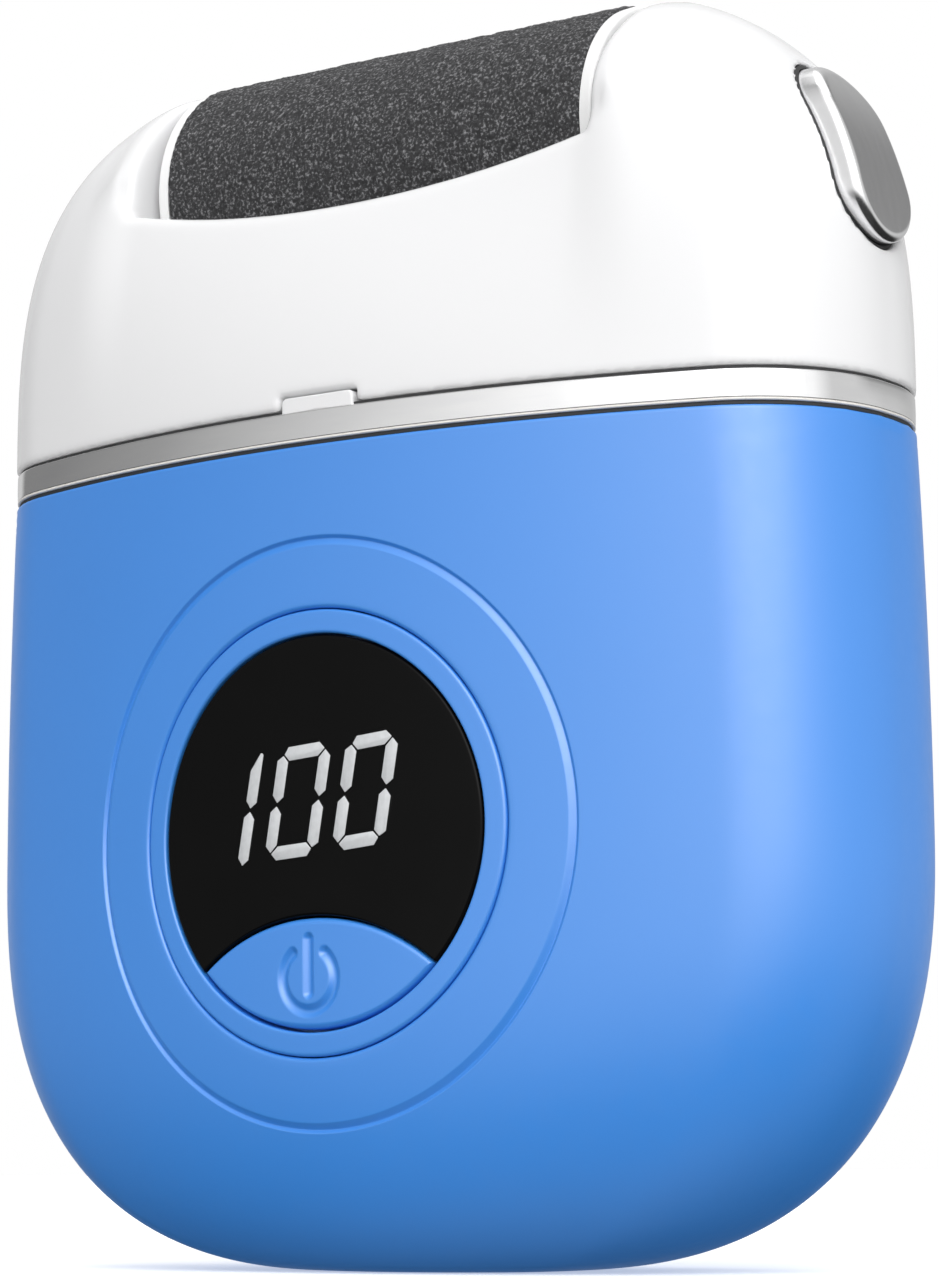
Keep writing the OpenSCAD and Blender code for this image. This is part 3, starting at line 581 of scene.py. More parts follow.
def bar_points(p, q, at_p, at_q, gap, hw, cut=False):
    """Outline of one display bar from node p to node q, eight points. at_p and at_q: the next bar's far node, or None."""
    p, q = np.array(p, float), np.array(q, float)

    def end(o, far, nxt):
        """Direction of the bar, and the distances along it of its tip, left shoulder and right shoulder."""
        d = (far - o) / np.linalg.norm(far - o)
        if nxt is None:
            return d, gap, gap + hw * 0.95, gap + hw * 0.95
        e = np.array(nxt, float) - o
        e /= np.linalg.norm(e)
        half = math.acos(max(-1, min(1, float(d @ e)))) / 2
        tip = 0.55 * gap / math.sin(half)
        inner, outer = tip + hw / math.tan(half), tip + hw * 0.8
        left_side = d[0] * e[1] - d[1] * e[0] > 0
        return (d, tip, inner, outer) if left_side else (d, tip, outer, inner)

    d, ta, la, ra_ = end(p, q, at_p)
    d2, tb, lb, rb_ = end(q, p, at_q)
    n = np.array([-d[1], d[0]])                         # left of p -> q; q's left is p's right
    out = [p + d * ta + n * 0.03, p + d * ta - n * 0.03, p + d * ra_ - n * hw]
    if cut:
        return out + [q + d * 0.05 - n * hw, q + d * 0.15 - n * (hw - 0.12), q - d * 1.05 + n * (hw - 0.08), q - d * 1.3 + n * hw,
                      p + d * la + n * hw]
    return out + [q + d2 * lb - n * hw, q + d2 * tb - n * 0.03, q + d2 * tb + n * 0.03, q + d2 * rb_ + n * hw, p + d * la + n * hw]


def digits():
    """Three seven-bar digits, each bar a thin raised piece with pointed ends and a small bevel, on a black border."""
    bars = []
    for tl, tr, bl, br in (((-2.6, 37.73), (1.28, 38.02), (-3.91, 30.48), (-0.01, 30.73)),
                           ((3.6, 38.14), (7.17, 38.49), (2.32, 30.9), (5.94, 31.24))):
        ml, mr_ = [(p[0] + q[0]) / 2 for p, q in zip((tl, tr), (bl, br))], [(p[1] + q[1]) / 2 for p, q in zip((tl, tr), (bl, br))]
        left, right_ = (ml[0], mr_[0]), (ml[1], mr_[1])
        bars += [(tl, tr, left, right_, False), (tr, right_, tl, None, False), (right_, br, None, bl, False),
                 (br, bl, right_, left, False), (bl, left, br, None, False), (left, tl, None, tr, False)]
    bars += [((-5.83, 33.86), (-5.05, 37.9), None, None, True), ((-6.64, 29.67), (-5.83, 33.86), None, None, False)]
    for name, levels, mat in (("digit_bars", ((0.0, -0.1), (0.0, 0.02), (-0.12, 0.06)), DIGIT),
                              ("digit_borders", ((0.17, -0.1), (0.17, 0.0), (0.15, 0.012)), INK)):
        verts, faces = [], []
        for p, q, at_p, at_q, cut in bars:
            b = len(verts)
            for grow, up in levels:
                for X, Z in bar_points(p, q, at_p, at_q, 0.15 - grow * 0.8, 0.50 + grow, cut):
                    verts.append((X, -(float(glass_w(X, Z)) + up), Z))
            for lvl in (0, 1):
                for j in range(8):
                    faces.append((b + lvl * 8 + j, b + lvl * 8 + (j + 1) % 8, b + lvl * 8 + 8 + (j + 1) % 8, b + lvl * 8 + 8 + j))
            faces += [(b + 16, b + 17, b + 22, b + 23), (b + 17, b + 18, b + 21, b + 22), (b + 18, b + 19, b + 20, b + 21),
                      (b + 7, b + 6, b + 1, b + 0), (b + 6, b + 5, b + 2, b + 1), (b + 5, b + 4, b + 3, b + 2)]
        mesh_object(name, np.array(verts), [np.array(faces)], mat, "housing", ["display_digits"] if mat is DIGIT else [],
                    30)


digits()

ICON = (-0.35, 21.3)


def icon_depth(x, z):
    """Depth of the engraved power symbol."""
    u, v = x - ICON[0], z - ICON[1]
    r = np.hypot(u, v)
    ang = np.arctan2(u, v)                              # 0 at the top
    gap = math.asin(1.45 / 2.35)
    ring = np.abs(r - 2.35)
    ends = np.hypot(np.abs(u) - 2.35 * math.sin(gap), v - 2.35 * math.cos(gap))
    d1 = np.where(np.abs(ang) >= gap, ring, ends)
    d2 = np.hypot(u, v - np.clip(v, -1.0, 2.85))
    d = np.minimum(d1, d2)
    t = np.clip(d / 0.56, 0, 1)
    return 0.26 * (0.5 + 0.5 * np.cos(math.pi * t)) ** 0.8


def power_button():
    ra, rl = RW - 0.10, LENS_R - 0.02
    cz = ICON[1]
    x0, z0, extra = cross_angles(ra, rl, cz)
    cx = ICON[0]
    th = angles(460, [math.atan2(z0 - cz, x0 - cx), math.atan2(z0 - cz, -x0 - cx)])
    c, s = np.cos(th), np.sin(th)

    def to_circle(oz, r):
        bx, bz = cx, cz - oz
        b = bx * c + bz * s
        return -b + np.sqrt(np.clip(b * b - (bx * bx + bz * bz - r * r), 0, None))

    rb = np.minimum(to_circle(DZ, ra), to_circle(LENS_Z, rl))
    fil = 0.5
    inner = np.minimum(rb - fil - 0.02, 3.55)
    w = lambda x, z: plan_y(x) * body_b(z) / HB - 0.10 - icon_depth(x, z)
    rings = [(inner * t, w) for t in np.linspace(0, 1, 54)[1:]]
    rings += [(inner + (rb - fil - inner) * t, w) for t in np.linspace(0, 1, 22)[1:]]
    for a in np.linspace(0, 90, 9)[1:]:
        off, dw = fil * (1 - math.sin(math.radians(a))), fil * (1 - math.cos(math.radians(a)))
        rings.append((rb - off, lambda x, z, dw=dw: w(x, z) - dw))
    back = -(pow_lo[1] + 1.12)
    rings.append((rb, back))
    o = plate("power_key", (cx, cz), th, rings, on_front, BLUE_GLOSS, "power_button", [],
              float(w(np.array(cx), np.array(cz))), back, 50)
    # the stem behind the key, with a rounded end
    k = 64
    t = np.linspace(0, TAU, k, endpoint=False)
    y0, y1 = -back - 0.2, pow_hi[1]
    prof = [(y0, 1.45), (y0 + 0.5, 1.45), (y0 + 0.6, 1.3), (y1 - 0.25, 1.3), (y1 - 0.07, 1.22), (y1, 1.05)]
    pts = [np.stack([r * np.cos(t), np.full(k, y), 21.3 + r * np.sin(t)], 1) for y, r in prof]
    pts = np.concatenate(pts + [np.array([[0, y0, 21.3], [0, y1, 21.3]])])
    n = len(prof)
    st = mesh_object("power_key_stem", pts, [grid_faces(n, k), np.concatenate([fan(n * k, 0, k, True), fan(n * k + 1, (n - 1) * k, k)])],
                     BLUE_GLOSS, "power_button", [], 40)
    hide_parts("power_button")


power_button()

# ------------------------------------------------------------------ trim band and gasket


def plan_loft(name, sections, n, a, b, mat, nodes, sharp=40):
    """Closed section of (inset, z) swept round the outline."""
    rings = []
    for inset, z in sections:
        p = outline(a - inset, b - inset, n)
        rings.append(np.column_stack([p, np.full(n, z)]))
    mesh_object(name, np.concatenate(rings), [grid_faces(len(rings), n, True)], mat, "housing", nodes, sharp)


z0, z1 = band_lo[2], band_hi[2] + 0.1
zb = z0 + 0.2                                           # the band proper ends above a small bead
sec = [(i, z) for i, z in
       [(0.10 - 0.08 * math.sin(math.radians(t)), zb + 0.08 - 0.08 * math.cos(math.radians(t))) for t in np.linspace(0, 90, 5)] +
       [(0.02 - 0.02 * math.sin(math.pi * u), zb + 0.08 + (z1 - zb - 0.22) * u) for u in np.linspace(0, 1, 9)[1:-1]] +
       [(0.16 - 0.14 * math.cos(math.radians(t)), z1 - 0.14 + 0.14 * math.sin(math.radians(t))) for t in np.linspace(0, 90, 6)] +
       [(1.3, z1), (1.3, zb)]]
plan_loft("trim_ring", sec, 720, band_hi[0], band_hi[1], CHROME, ["trim_band"], 50)
sec = [(0.16 - 0.15 * math.sin(math.radians(t)), z0 + 0.105 - 0.105 * math.cos(math.radians(t))) for t in np.linspace(0, 180, 11)]
plan_loft("trim_bead", sec + [(1.25, z0 + 0.21), (1.25, z0)], 720, band_hi[0], band_hi[1], BEAD, [], 50)
# the gasket, with a black lip in each of the two seams: painted shade, a dark sheet standing in for the shade deep in
# the seams
gl = gas_hi[0] - band_hi[0] + 0.2                       # inset of the lips, measured from the gasket's outer face
sec = [(gl + 0.04, gas_lo[2]), (gl, gas_lo[2] + 0.05), (gl, z0 - 0.05), (gl + 0.04, z0), (0, z0), (0, z1), (gl + 0.04, z1),
       (gl, z1 + 0.05), (gl, gas_hi[2] - 0.05), (gl + 0.04, gas_hi[2]), (0.65, gas_hi[2]), (0.65, gas_lo[2])]
plan_loft("seam_shade_seal", sec, 720, gas_hi[0], gas_hi[1], RUBBER, ["seam_gasket"], 30)

# ------------------------------------------------------------------ head housing


def smax(a, b, k):
    h = np.clip(k - np.abs(a - b), 0, None) / k
    return np.maximum(a, b) + h * h * k * 0.25


def smin(a, b, k):
    return -smax(-a, -b, k)


def plan_sdf(X, Y):
    X, Y = np.abs(X), np.abs(Y)
    arc = np.hypot(X, Y + RF - HB) - RF
    cor = np.hypot(X - XC, Y + YC) - RC
    flat = X - HA
    return np.where(X <= math.tan(T0) * (Y + RF - HB), arc, np.where(Y > -YC, cor, flat))


BAY = 21.35
TROUGH = 11.3
LIP_R, LIP_Z = 91.0, 79.55


def head_a(z):
    return (HA - 0.7) * quarter((z - 63) / 33.8, 2.95)


def capsule(y, z):
    """Distance to the outline of the release button: two circles and their tangents."""
    r1, r2, h = 4.0, 3.85, 5.9
    p, q = np.abs(y), z - 77.5
    b = (r1 - r2) / h
    a = math.sqrt(1 - b * b)
    k = -b * p + a * q
    return np.where(k < 0, np.hypot(p, q) - r1, np.where(k > a * h, np.hypot(p, q - h) - r2, p * a + q * b - r1))


def head_field(x, y, z, h):
    a = np.maximum(head_a(z), 2.0)
    u = np.clip((z - 63) / 31.4, 0, 0.999)
    arm = np.sqrt(1 - u ** 4.0)                                    # scale of the arms in depth
    X = np.abs(x) * HA / a
    full = plan_y(X)
    g = 1 - np.clip((z - 63) / 19.5, 0, 1.05) ** 1.8
    mid = (12.55 + (full - 12.55) * g) / np.maximum(full, 1)       # scale between the arms
    t = np.clip((np.abs(x) - 20.4) / 6.0, 0, 1)
    t = t * t * (3 - 2 * t)
    mid = np.minimum(mid, 1.06 * arm)
    sc = np.maximum(mid * (1 - t) + arm * t, 0.05)
    f = plan_sdf(X, y / sc)
    gx, gy, gz = np.gradient(f, h)
    d0 = f / np.clip(np.sqrt(gx * gx + gy * gy + gz * gz), 0.6, 12)
    d = smax(d0, HEAD_Z - z, 0.26)
    r = np.hypot(y, z - AX)
    lip = LIP_Z + LIP_R - np.sqrt(LIP_R ** 2 - x ** 2)
    m = smax(TROUGH - r, z - lip, 1.1)
    bay = smin(BAY - np.abs(x), m, 0.35)
    # collar beside the roller and the valley outside it
    s = np.abs(x) - (BAY + 1.15)
    climb = np.clip((z - AX) / np.maximum(r, 1), 0, 1)
    q = np.clip(climb / 0.8, 0, 1)
    allow = 12.05 - 1.6 * q * q * (3 - 2 * q) + np.where(s > 0, 1.15 * np.clip(s, 0, None) ** 1.25, 0)
    slope = np.where(s > 0, 1.15 * 1.25 * np.clip(s, 0, None) ** 0.25, 0)
    v = (r - allow) / np.sqrt(1 + slope ** 2)
    v = smin(v, (z - 82.7) * 0.8, 1.6)
    d = smax(d, v, 0.5)
    d = smax(d, bay, 1.0)
    # release button opening
    hole = np.maximum(capsule(y, z) - 0.40, 28.5 - x)
    d = smax(d, -hole, 0.3)
    # notch for the latch tab
    notch = np.maximum(np.maximum(np.abs(x - 0.5) - 3.5, z - (HEAD_Z + 1.05)), y + 14.0)
    d = smax(d, -notch, 0.35)
    # bearing seats
    seat = np.maximum(np.maximum(r - 3.55, 20.0 - np.abs(x)), np.abs(x) - 25.5)
    d = smax(d, -seat, 0.25)
    # hollow inside
    keep = np.minimum(np.maximum(np.abs(x) - 23.1, r - 12.8), np.maximum(np.abs(x) - 23.9, np.abs(r - 11.9) - 0.95))
    hollow = np.maximum(np.maximum(d0 + 2.0, -keep), z - 91)
    return smax(d, -hollow, 0.35)


def sample(f, p):
    """Trilinear sample of grid f at grid positions p."""
    i = np.clip(np.floor(p).astype(int), 0, np.array(f.shape) - 2)
    t = p - i
    out = 0
    for dx in (0, 1):
        for dy in (0, 1):
            for dz in (0, 1):
                w = (t[:, 0] if dx else 1 - t[:, 0]) * (t[:, 1] if dy else 1 - t[:, 1]) * (t[:, 2] if dz else 1 - t[:, 2])
                out = out + w * f[i[:, 0] + dx, i[:, 1] + dy, i[:, 2] + dz]
    return out


def surface_nets(f):
    s = f < 0
    c = np.zeros(tuple(n - 1 for n in f.shape), np.int8)
    for dx in (0, 1):
        for dy in (0, 1):
            for dz in (0, 1):
                c += s[dx:f.shape[0] - 1 + dx, dy:f.shape[1] - 1 + dy, dz:f.shape[2] - 1 + dz]
    mixed = (c > 0) & (c < 8)
    idx = np.full(mixed.shape, -1, np.int64)
    cells = np.argwhere(mixed)
    idx[mixed] = np.arange(len(cells))
    pos, cnt = np.zeros((len(cells), 3)), np.zeros(len(cells))
    for ax in range(3):
        for u in (0, 1):
            for v in (0, 1):
                o = [0, 0, 0]
                o[(ax + 1) % 3], o[(ax + 2) % 3] = u, v
                pa = cells + o
                step = np.eye(3, dtype=int)[ax]
                fa = f[tuple(pa.T)]
                fb = f[tuple((pa + step).T)]
                hit = (fa < 0) != (fb < 0)
                t = np.where(hit, fa / np.where(hit, fa - fb, 1), 0)
                pos += np.where(hit[:, None], pa + step * t[:, None], 0)
                cnt += hit
    pos /= cnt[:, None]
    quads = []
    for ax in range(3):
        b, c2 = (ax + 1) % 3, (ax + 2) % 3
        sl0, sl1 = [slice(None)] * 3, [slice(None)] * 3
        sl0[ax], sl1[ax] = slice(0, -1), slice(1, None)
        sa, sb = s[tuple(sl0)], s[tuple(sl1)]
        e = np.argwhere(sa != sb)
        ok = (e[:, b] > 0) & (e[:, c2] > 0) & (e[:, b] < f.shape[b] - 1) & (e[:, c2] < f.shape[c2] - 1)
        e = e[ok]
        inside_first = sa[tuple(e.T)]
        eb, ec = np.eye(3, dtype=int)[b], np.eye(3, dtype=int)[c2]
        q = np.stack([idx[tuple(e.T)], idx[tuple((e - eb).T)], idx[tuple((e - eb - ec).T)], idx[tuple((e - ec).T)]], 1)
        q[~inside_first] = q[~inside_first][:, ::-1]
        quads.append(q)
    return pos, np.concatenate(quads)


def head():
    h = 0.36
    lo = np.array([-41.0, -18.3, HEAD_Z - 1.2])
    n = np.ceil((np.array([41.0, 18.3, 95.2]) - lo) / h).astype(int) + 1
    ax = [lo[i] + h * np.arange(n[i]) for i in range(3)]
    x, y, z = np.meshgrid(*ax, indexing="ij")
    f = head_field(x, y, z, h)
    p, quads = surface_nets(f)
    grad = np.stack(np.gradient(f, 1.0), -1)
    for _ in range(3):
        v = sample(f, p)
        g = np.stack([sample(grad[..., i], p) for i in range(3)], 1)
        step = v[:, None] * g / np.maximum((g * g).sum(1), 1e-9)[:, None]
        length = np.linalg.norm(step, axis=1)
        p -= step * np.minimum(1, 0.35 / np.maximum(length, 1e-9))[:, None]
    g = np.stack([sample(grad[..., i], p) for i in range(3)], 1)
    g /= np.maximum(np.linalg.norm(g, axis=1), 1e-9)[:, None]
    pts = lo + p * h
    pts[:, 1] = np.clip(pts[:, 1], -HB + 0.01, HB - 0.01)
    pts[:, 2] = np.clip(pts[:, 2], HEAD_Z, cad_bounds[1][2] * 1000 - 0.02)
    mesh_object("head_shell", pts, [quads], WHITE, "housing", ["head_housing"],
                recalc=False, normals=g)


head()


def latch_tab():
    x0, x1 = tab_lo[0] + 0.02, tab_hi[0] - 0.02
    z0, z1 = tab_lo[2], tab_hi[2]
    cx, cz = (x0 + x1) / 2, (z0 + z1) / 2
    hx, hz, rr = (x1 - x0) / 2, (z1 - z0) / 2, 0.45
    th = angles(128, [math.atan2(-hz, hx), math.atan2(-hz, -hx)])
    c, s = np.cos(th), np.sin(th)
    lo, hi = np.zeros(len(th)), np.full(len(th), 9.0)
    for _ in range(40):
        m = (lo + hi) / 2
        px, pz = np.abs(m * c), m * s
        qx, qz = px - (hx - rr), pz - (hz - rr)
        ins = (px < hx) & (pz > -hz) & (pz < hz) & ((qx < 0) | (qz < 0) | (np.hypot(qx, qz) < rr))
        lo, hi = np.where(ins, m, lo), np.where(ins, hi, m)
    rb = lo
    w = lambda x, z: plan_y(x) * (HB - 0.05) / HB
    rings = [((rb - 0.18) * t, w) for t in np.linspace(0, 1, 10)[1:]]
    for a in np.linspace(0, 90, 6)[1:]:
        off, dw = 0.18 * (1 - math.sin(math.radians(a))), 0.18 * (1 - math.cos(math.radians(a)))
        rings.append((rb - off, lambda x, z, dw=dw: w(x, z) - dw))
    back = -tab_hi[1]
    rings.append((rb, back))
    plate("latch_key", (cx, cz), th, rings, on_front, WHITE, "housing", ["head_latch_tab"],
          HB - 0.05, back, 45)


latch_tab()

# ------------------------------------------------------------------ roller


def sleeve():
    nx, nt = 280, 460
    rng = np.random.RandomState(11)
    g = rng.normal(size=(nx, nt))
    fx = np.fft.fftfreq(nx)[:, None]
    ft = np.fft.fftfreq(nt)[None, :]
    f2 = fx ** 2 + ft ** 2
    fine = np.real(np.fft.ifft2(np.fft.fft2(g) * np.exp(-f2 / (2 * 0.16 ** 2))))
    fine /= fine.std()
    rough = np.real(np.fft.ifft2(np.fft.fft2(rng.normal(size=(nx, nt))) * np.exp(-f2 / (2 * 0.05 ** 2))))
    rough /= rough.std()
    hgt = np.clip(0.5 + 0.21 * fine + 0.10 * rough, 0, 1)
    xs = np.linspace(-RH, RH, nx)
    th = np.linspace(0, TAU, nt, endpoint=False)
    r = RR - 0.16 + 0.155 * hgt
    # the sleeve's ends are worn to a small radius
    d = np.clip(0.5 - (RH - np.abs(xs)), 0, 0.5)
    r = r - (0.5 - np.sqrt(0.25 - d ** 2))[:, None] * 0.55
    outer = np.stack([np.repeat(xs[:, None], nt, 1), r * np.sin(th), AX + r * np.cos(th)], -1).reshape(-1, 3)
    ri = RR - 1.0
    inner = [np.stack([np.full(nt, x), ri * np.sin(th), AX + ri * np.cos(th)], 1) for x in (RH, -RH)]
    mesh_object("grit_sleeve", np.concatenate([outer] + inner), [grid_faces(nx + 2, nt, True)], GRIT, "roller",
                ["abrasive_sleeve"], 75)


sleeve()


def caps():
    lo, hi = mm("roller_cap_drive")
    rc = (hi[2] - lo[2]) / 2
    k = 192
    th = np.linspace(0, TAU, k, endpoint=False)
    hexr = 3.1 * math.cos(math.pi / 6) / np.cos((th + math.pi / 6) % (math.pi / 3) - math.pi / 6)
    x0 = lo[0]
    prof = [(x0 + 1.05, rc - 0.05), (x0 + 0.34, rc)]
    prof += [(x0 + 0.34 - 0.34 * math.sin(math.radians(t)), rc - 0.34 + 0.34 * math.cos(math.radians(t))) for t in (18, 36, 54, 72, 90)]
    prof += [(x0, rc - 1.2), (x0 + 0.18, rc - 1.5), (x0 + 0.18, 5.2), (x0, 4.9), (x0, hexr + 0.35), (x0 + 0.3, hexr), (x0 + 4.6, hexr),
             (x0 + 5.0, 5.0), (x0 + 5.0, rc - 2.6), (x0 + 1.08, rc - 2.45)]
    lathe("roller_end_drive", prof, k, ROLLER_WHITE, "roller", ["roller_cap_drive"])
    lo, hi = mm("roller_cap_idle")
    x1 = hi[0]
    prof = [(x1 - 1.05, rc - 0.05), (x1 - 0.34, rc)]
    prof += [(x1 - 0.34 + 0.34 * math.sin(math.radians(t)), rc - 0.34 + 0.34 * math.cos(math.radians(t))) for t in (18, 36, 54, 72, 90)]
    prof += [(x1, rc - 1.2), (x1 - 0.18, rc - 1.5), (x1 - 0.18, 4.0), (x1, 3.7), (x1, 2.3), (x1 - 0.3, 1.96), (x1 - 2.4, 1.96),
             (x1 - 2.4, rc - 2.6), (x1 - 1.08, rc - 2.45)]
    lathe("roller_end_idle", prof, k, ROLLER_WHITE, "roller", ["roller_cap_idle"])


caps()

# ------------------------------------------------------------------ release button


def release_button():
    cy, cz = 0.0, 80.0
    th = angles(256)
    c, s = np.cos(th), np.sin(th)
    lo, hi = np.zeros(len(th)), np.full(len(th), 12.0)
    for _ in range(40):
        m = (lo + hi) / 2
        ins = capsule(cy + m * c, cz + m * s) < 0
        lo, hi = np.where(ins, m, lo), np.where(ins, hi, m)
    rb = lo
    w = lambda y, z: 13.8 + np.sqrt(26.0 ** 2 - (z - 72) ** 2)
    fil = 0.72
    rings = [((rb - fil - 0.25) * t, w) for t in np.linspace(0, 1, 22)[1:]]
    for a in [-8] + list(np.linspace(0, 90, 13)):
        off = fil * (1 - math.sin(math.radians(a)))
        dw = fil * (1 - math.cos(math.radians(a))) if a >= 0 else 0.0
        rings.append((rb - off, lambda y, z, dw=dw: w(y, z) - dw))
    x_in = rel_lo[0]
    rings += [(rb, lambda y, z: (w(y, z) - fil + x_in) / 2), (rb - 0.02, x_in + 0.15), (rb - 0.17, x_in)]
    # dark seal set into the gap round the key: painted shade, a black ring standing in for the shade in the gap
    k = len(th)
    side = lambda y, z: (XC + np.sqrt(np.clip(RC ** 2 - np.clip(np.abs(y) / np.sqrt(1 - np.clip((z - 63) / 31.4, 0, 0.99) ** 4) + YC, 0, None) ** 2,
                                              0, None))) * head_a(z) / HA
    prof = []
    for off, deep in ((0.06, 2.0), (0.06, 0.42), (0.12, 0.36), (0.30, 0.36), (0.36, 0.42), (0.36, 2.0)):
        y, z = cy + (rb + off) * c, cz + (rb + off) * s
        prof.append(np.stack([side(y, z) - deep, y, z], 1))
    mesh_object("release_shade_seal", np.concatenate(prof), [grid_faces(len(prof), k, True)], RUBBER, "housing", [],
                40)
    plate("release_key", (cy, cz), th, rings, on_right, BUTTON_CHROME, "release_button", ["release_button"],
          float(w(0, cz)), x_in, 60)


release_button()

# ------------------------------------------------------------------ stage, light, camera


def stage():
    """A wide round floor."""
    k, rs = 96, [0.0, 0.08, 0.16, 0.3, 0.5, 0.8, 1.2, 1.8, 2.6, 4.0]
    v = [(0, 0, 0)] + [(r * math.cos(t), r * math.sin(t), 0.0) for r in rs[1:] for t in np.linspace(0, TAU, k, endpoint=False)]
    f = [(0, 1 + i, 1 + (i + 1) % k) for i in range(k)]
    for j in range(len(rs) - 2):
        f += [(1 + j * k + i, 1 + (j + 1) * k + i, 1 + (j + 1) * k + (i + 1) % k, 1 + j * k + (i + 1) % k) for i in range(k)]
    me = bpy.data.meshes.new("stage")
    me.from_pydata(v, [], f)
    o = bpy.data.objects.new("stage", me)
    bpy.context.scene.collection.objects.link(o)
    me.materials.append(material("stage_white", (0.90, 0.90, 0.90, 1), 0.9, vary=0.004, vary_scale=2, rough_vary=0.03,
                                 rough_scale=30, bump=0.02, bump_scale=200, spec=0.1))
    b = me.materials[0].node_tree.nodes["Principled BSDF"]
    b.inputs["Emission Color"].default_value = (1, 1, 1, 1)
    b.inputs["Emission Strength"].default_value = 0.42
    # the floor shows and takes the object's shadow, but lights nothing itself
    o.visible_diffuse = False
    o.visible_glossy = False
    o.visible_shadow = False


stage()


def area(name, loc, target, size, power, colour=(1, 1, 1), size_y=None):
    l = bpy.data.lights.new(name, "AREA")
    l.energy = power
    l.color = colour
    l.size = size
    if size_y:
        l.shape = "RECTANGLE"
        l.size_y = size_y
    o = bpy.data.objects.new(name, l)
    o.location = loc
    o.rotation_mode = "QUATERNION"
    o.rotation_quaternion = (Vector(target) - Vector(loc)).to_track_quat("-Z", "Y")
    bpy.context.scene.collection.objects.link(o)
    return o


def around(az, el, dist):
    """Point around the object: azimuth 0 is in front of the display, positive towards +X."""
    a, e = math.radians(az), math.radians(el)
    return (dist * math.sin(a) * math.cos(e), -dist * math.cos(a) * math.cos(e), 0.05 + dist * math.sin(e))


T = (0, 0, 0.05)
area("top_soft", (0.0, 0.1, 1.3), T, 1.2, 3.8)
# broad fills that soften the shading but don't show as reflections
for name, loc, size, power in (("under_fill", (0.0, -0.1, -0.9), 1.6, 4.6), ("left_fill", around(-100, -4, 1.2), 1.0, 5.8),
                               ("rear_fill", (0.0, 1.2, 0.1), 1.0, 5.0),
                               ("right_fill", around(112, -16, 1.2), 1.0, 3.3)):
    f = area(name, loc, T, size, power)
    f.visible_glossy = False
    f.visible_camera = False

w = bpy.data.worlds.new("world")
bpy.context.scene.world = w
w.use_nodes = True
wt = w.node_tree
bg = wt.nodes["Background"]
# a studio that is bright in front and to the right, and greyer to the left
tc = wt.nodes.new("ShaderNodeTexCoord")
sx = wt.nodes.new("ShaderNodeSeparateXYZ")
wt.links.new(tc.outputs["Generated"], sx.inputs["Vector"])
ng = wt.nodes.new("ShaderNodeMath")
ng.operation = "MULTIPLY"
ng.inputs[1].default_value = -1
wt.links.new(sx.outputs["Y"], ng.inputs[0])
at = wt.nodes.new("ShaderNodeMath")
at.operation = "ARCTAN2"
wt.links.new(sx.outputs["X"], at.inputs[0])
wt.links.new(ng.outputs[0], at.inputs[1])
mr = wt.nodes.new("ShaderNodeMapRange")
mr.inputs["From Min"].default_value = -math.pi
mr.inputs["From Max"].default_value = math.pi
wt.links.new(at.outputs[0], mr.inputs["Value"])
SKY_LEVEL, PANEL_LEVEL = 0.88, 3.3
SKY = [(-180, 0.56), (-150, 0.64), (-112, 0.66), (-102, 0.24), (-75, 0.245), (-58, 0.34), (-45, 0.51), (-33, 0.68),
       (-22, 0.87), (-12, 1.07), (0, 1.12), (82, 1.12), (97, 0.68), (130, 0.70), (160, 0.60), (180, 0.56)]
# a grey card behind on the right, above the level of the band
CARD = [(-180, 0.35), (-165, 0), (118, 0), (134, 1.0), (168, 1.0), (180, 0.35)]
# a broad soft panel in front on the right: strength over the azimuth
PANEL = [(-180, 0), (-10, 0), (8, 0.34), (20, 0.80), (29, 1.0), (40, 1.0), (50, 0.86), (62, 0.40), (76, 0), (180, 0)]


def azimuth_ramp(stops, top):
    r = wt.nodes.new("ShaderNodeValToRGB")
    e = r.color_ramp.elements
    e[0].position, e[1].position = 0.0, 1.0
    for a, v in stops[1:-1]:
        e.new((a + 180) / 360)
    for q, (a, v) in zip(e, stops):
        q.position = (a + 180) / 360
        q.color = (v / top, v / top, v / top, 1)
    wt.links.new(mr.outputs["Result"], r.inputs["Fac"])
    return r.outputs["Color"]


def rise(z0, z1, a, b):
    """Smooth change from a to b as the direction's height goes from z0 to z1."""
    m = wt.nodes.new("ShaderNodeMapRange")
    m.interpolation_type = "SMOOTHSTEP"
    for k, v in (("From Min", z0), ("From Max", z1), ("To Min", a), ("To Max", b)):
        m.inputs[k].default_value = v
    wt.links.new(sx.outputs["Z"], m.inputs["Value"])
    return m.outputs["Result"]


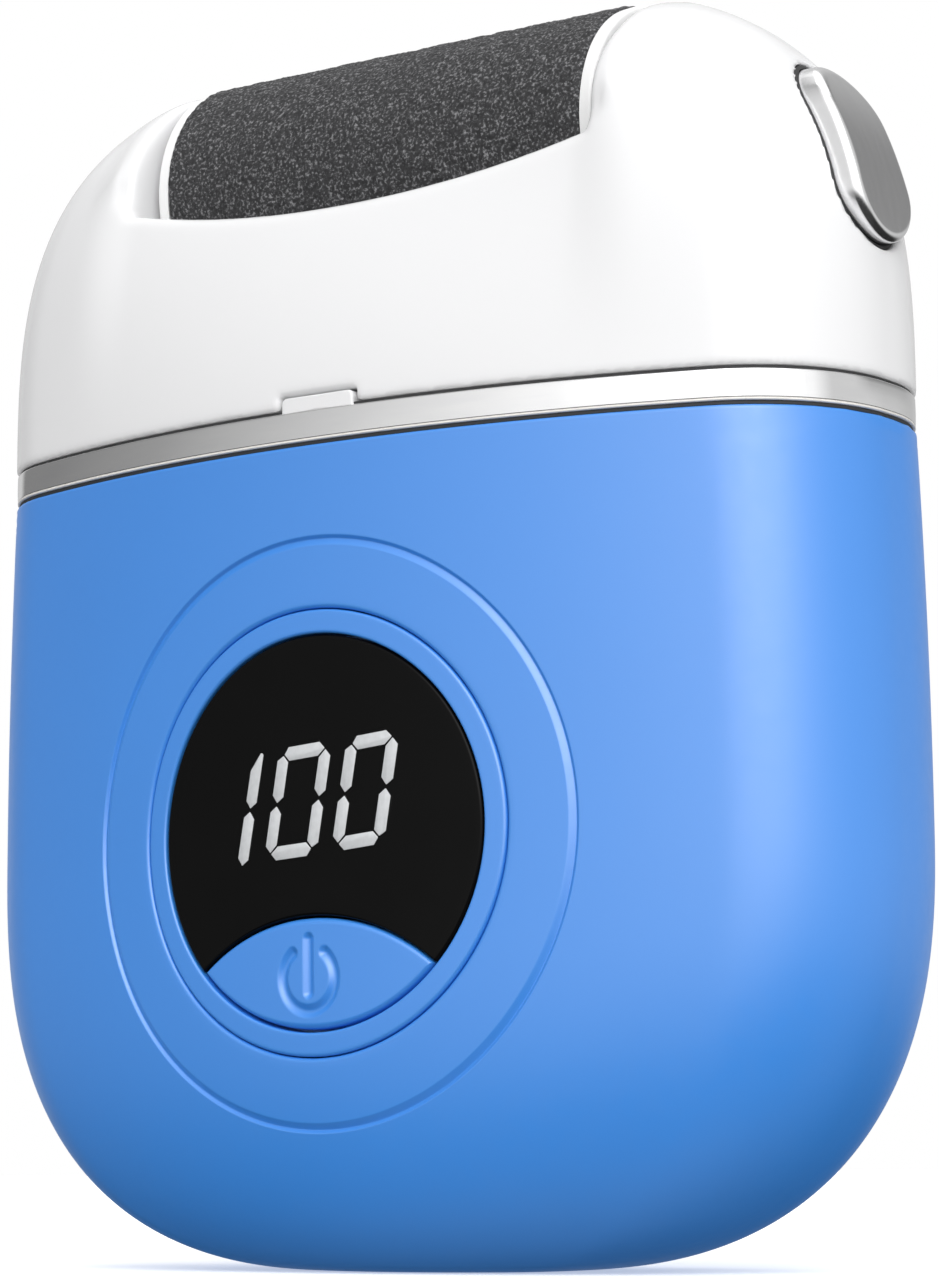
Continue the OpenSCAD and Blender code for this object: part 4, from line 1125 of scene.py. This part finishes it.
def times(a, b, op="MULTIPLY"):
    m = wt.nodes.new("ShaderNodeMath")
    m.operation = op
    for i, v in enumerate((a, b)):
        if isinstance(v, (int, float)):
            m.inputs[i].default_value = v
        else:
            wt.links.new(v, m.inputs[i])
    return m.outputs[0]


card = times(times(azimuth_ramp(CARD, 1.0), rise(0.16, 0.30, 0.0, 1.0)), 0.55)
base_light = times(times(times(azimuth_ramp(SKY, 1.12), times(1.0, card, "SUBTRACT")), rise(-0.34, -0.02, 0.04, 1.0)), 1.12 * SKY_LEVEL)
panel_light = times(times(times(azimuth_ramp(PANEL, 1.0), rise(-0.10, 0.34, 0.0, 1.0)), rise(0.72, 0.95, 1.0, 0.0)), PANEL_LEVEL)
wt.links.new(times(base_light, panel_light, "ADD"), bg.inputs["Strength"])
bg.inputs["Color"].default_value = (1, 1, 1, 1)
# the backdrop behind it is plain white
bg2 = wt.nodes.new("ShaderNodeBackground")
bg2.inputs["Color"].default_value = (1, 1, 1, 1)
bg2.inputs["Strength"].default_value = 1.0
lp = wt.nodes.new("ShaderNodeLightPath")
ms = wt.nodes.new("ShaderNodeMixShader")
wt.links.new(lp.outputs["Is Camera Ray"], ms.inputs["Fac"])
wt.links.new(bg.outputs[0], ms.inputs[1])
wt.links.new(bg2.outputs[0], ms.inputs[2])
wt.links.new(ms.outputs[0], wt.nodes["World Output"].inputs["Surface"])

cam_data = bpy.data.cameras.new("camera")
cam = bpy.data.objects.new("camera", cam_data)
bpy.context.scene.collection.objects.link(cam)
right = Vector((0.818836, 0.573987, -0.006868))
up = Vector((0.083516, -0.107288, 0.990714))
fwd = Vector((-0.567920, 0.811806, 0.135788))
up = (up - fwd * up.dot(fwd)).normalized()
right = fwd.cross(up).normalized()
rot = Matrix((right, up, -fwd)).transposed()
cam.rotation_mode = "QUATERNION"
cam.rotation_quaternion = rot.to_quaternion()
cam.location = (0.169617, -0.239237, 0.007733)
cam_data.lens = 108.35
cam_data.sensor_width = 36
cam_data.clip_start = 0.01
cam_data.clip_end = 20
bpy.context.scene.camera = cam
bpy.context.scene.view_settings.view_transform = "Standard"
bpy.context.scene.view_settings.look = "None"
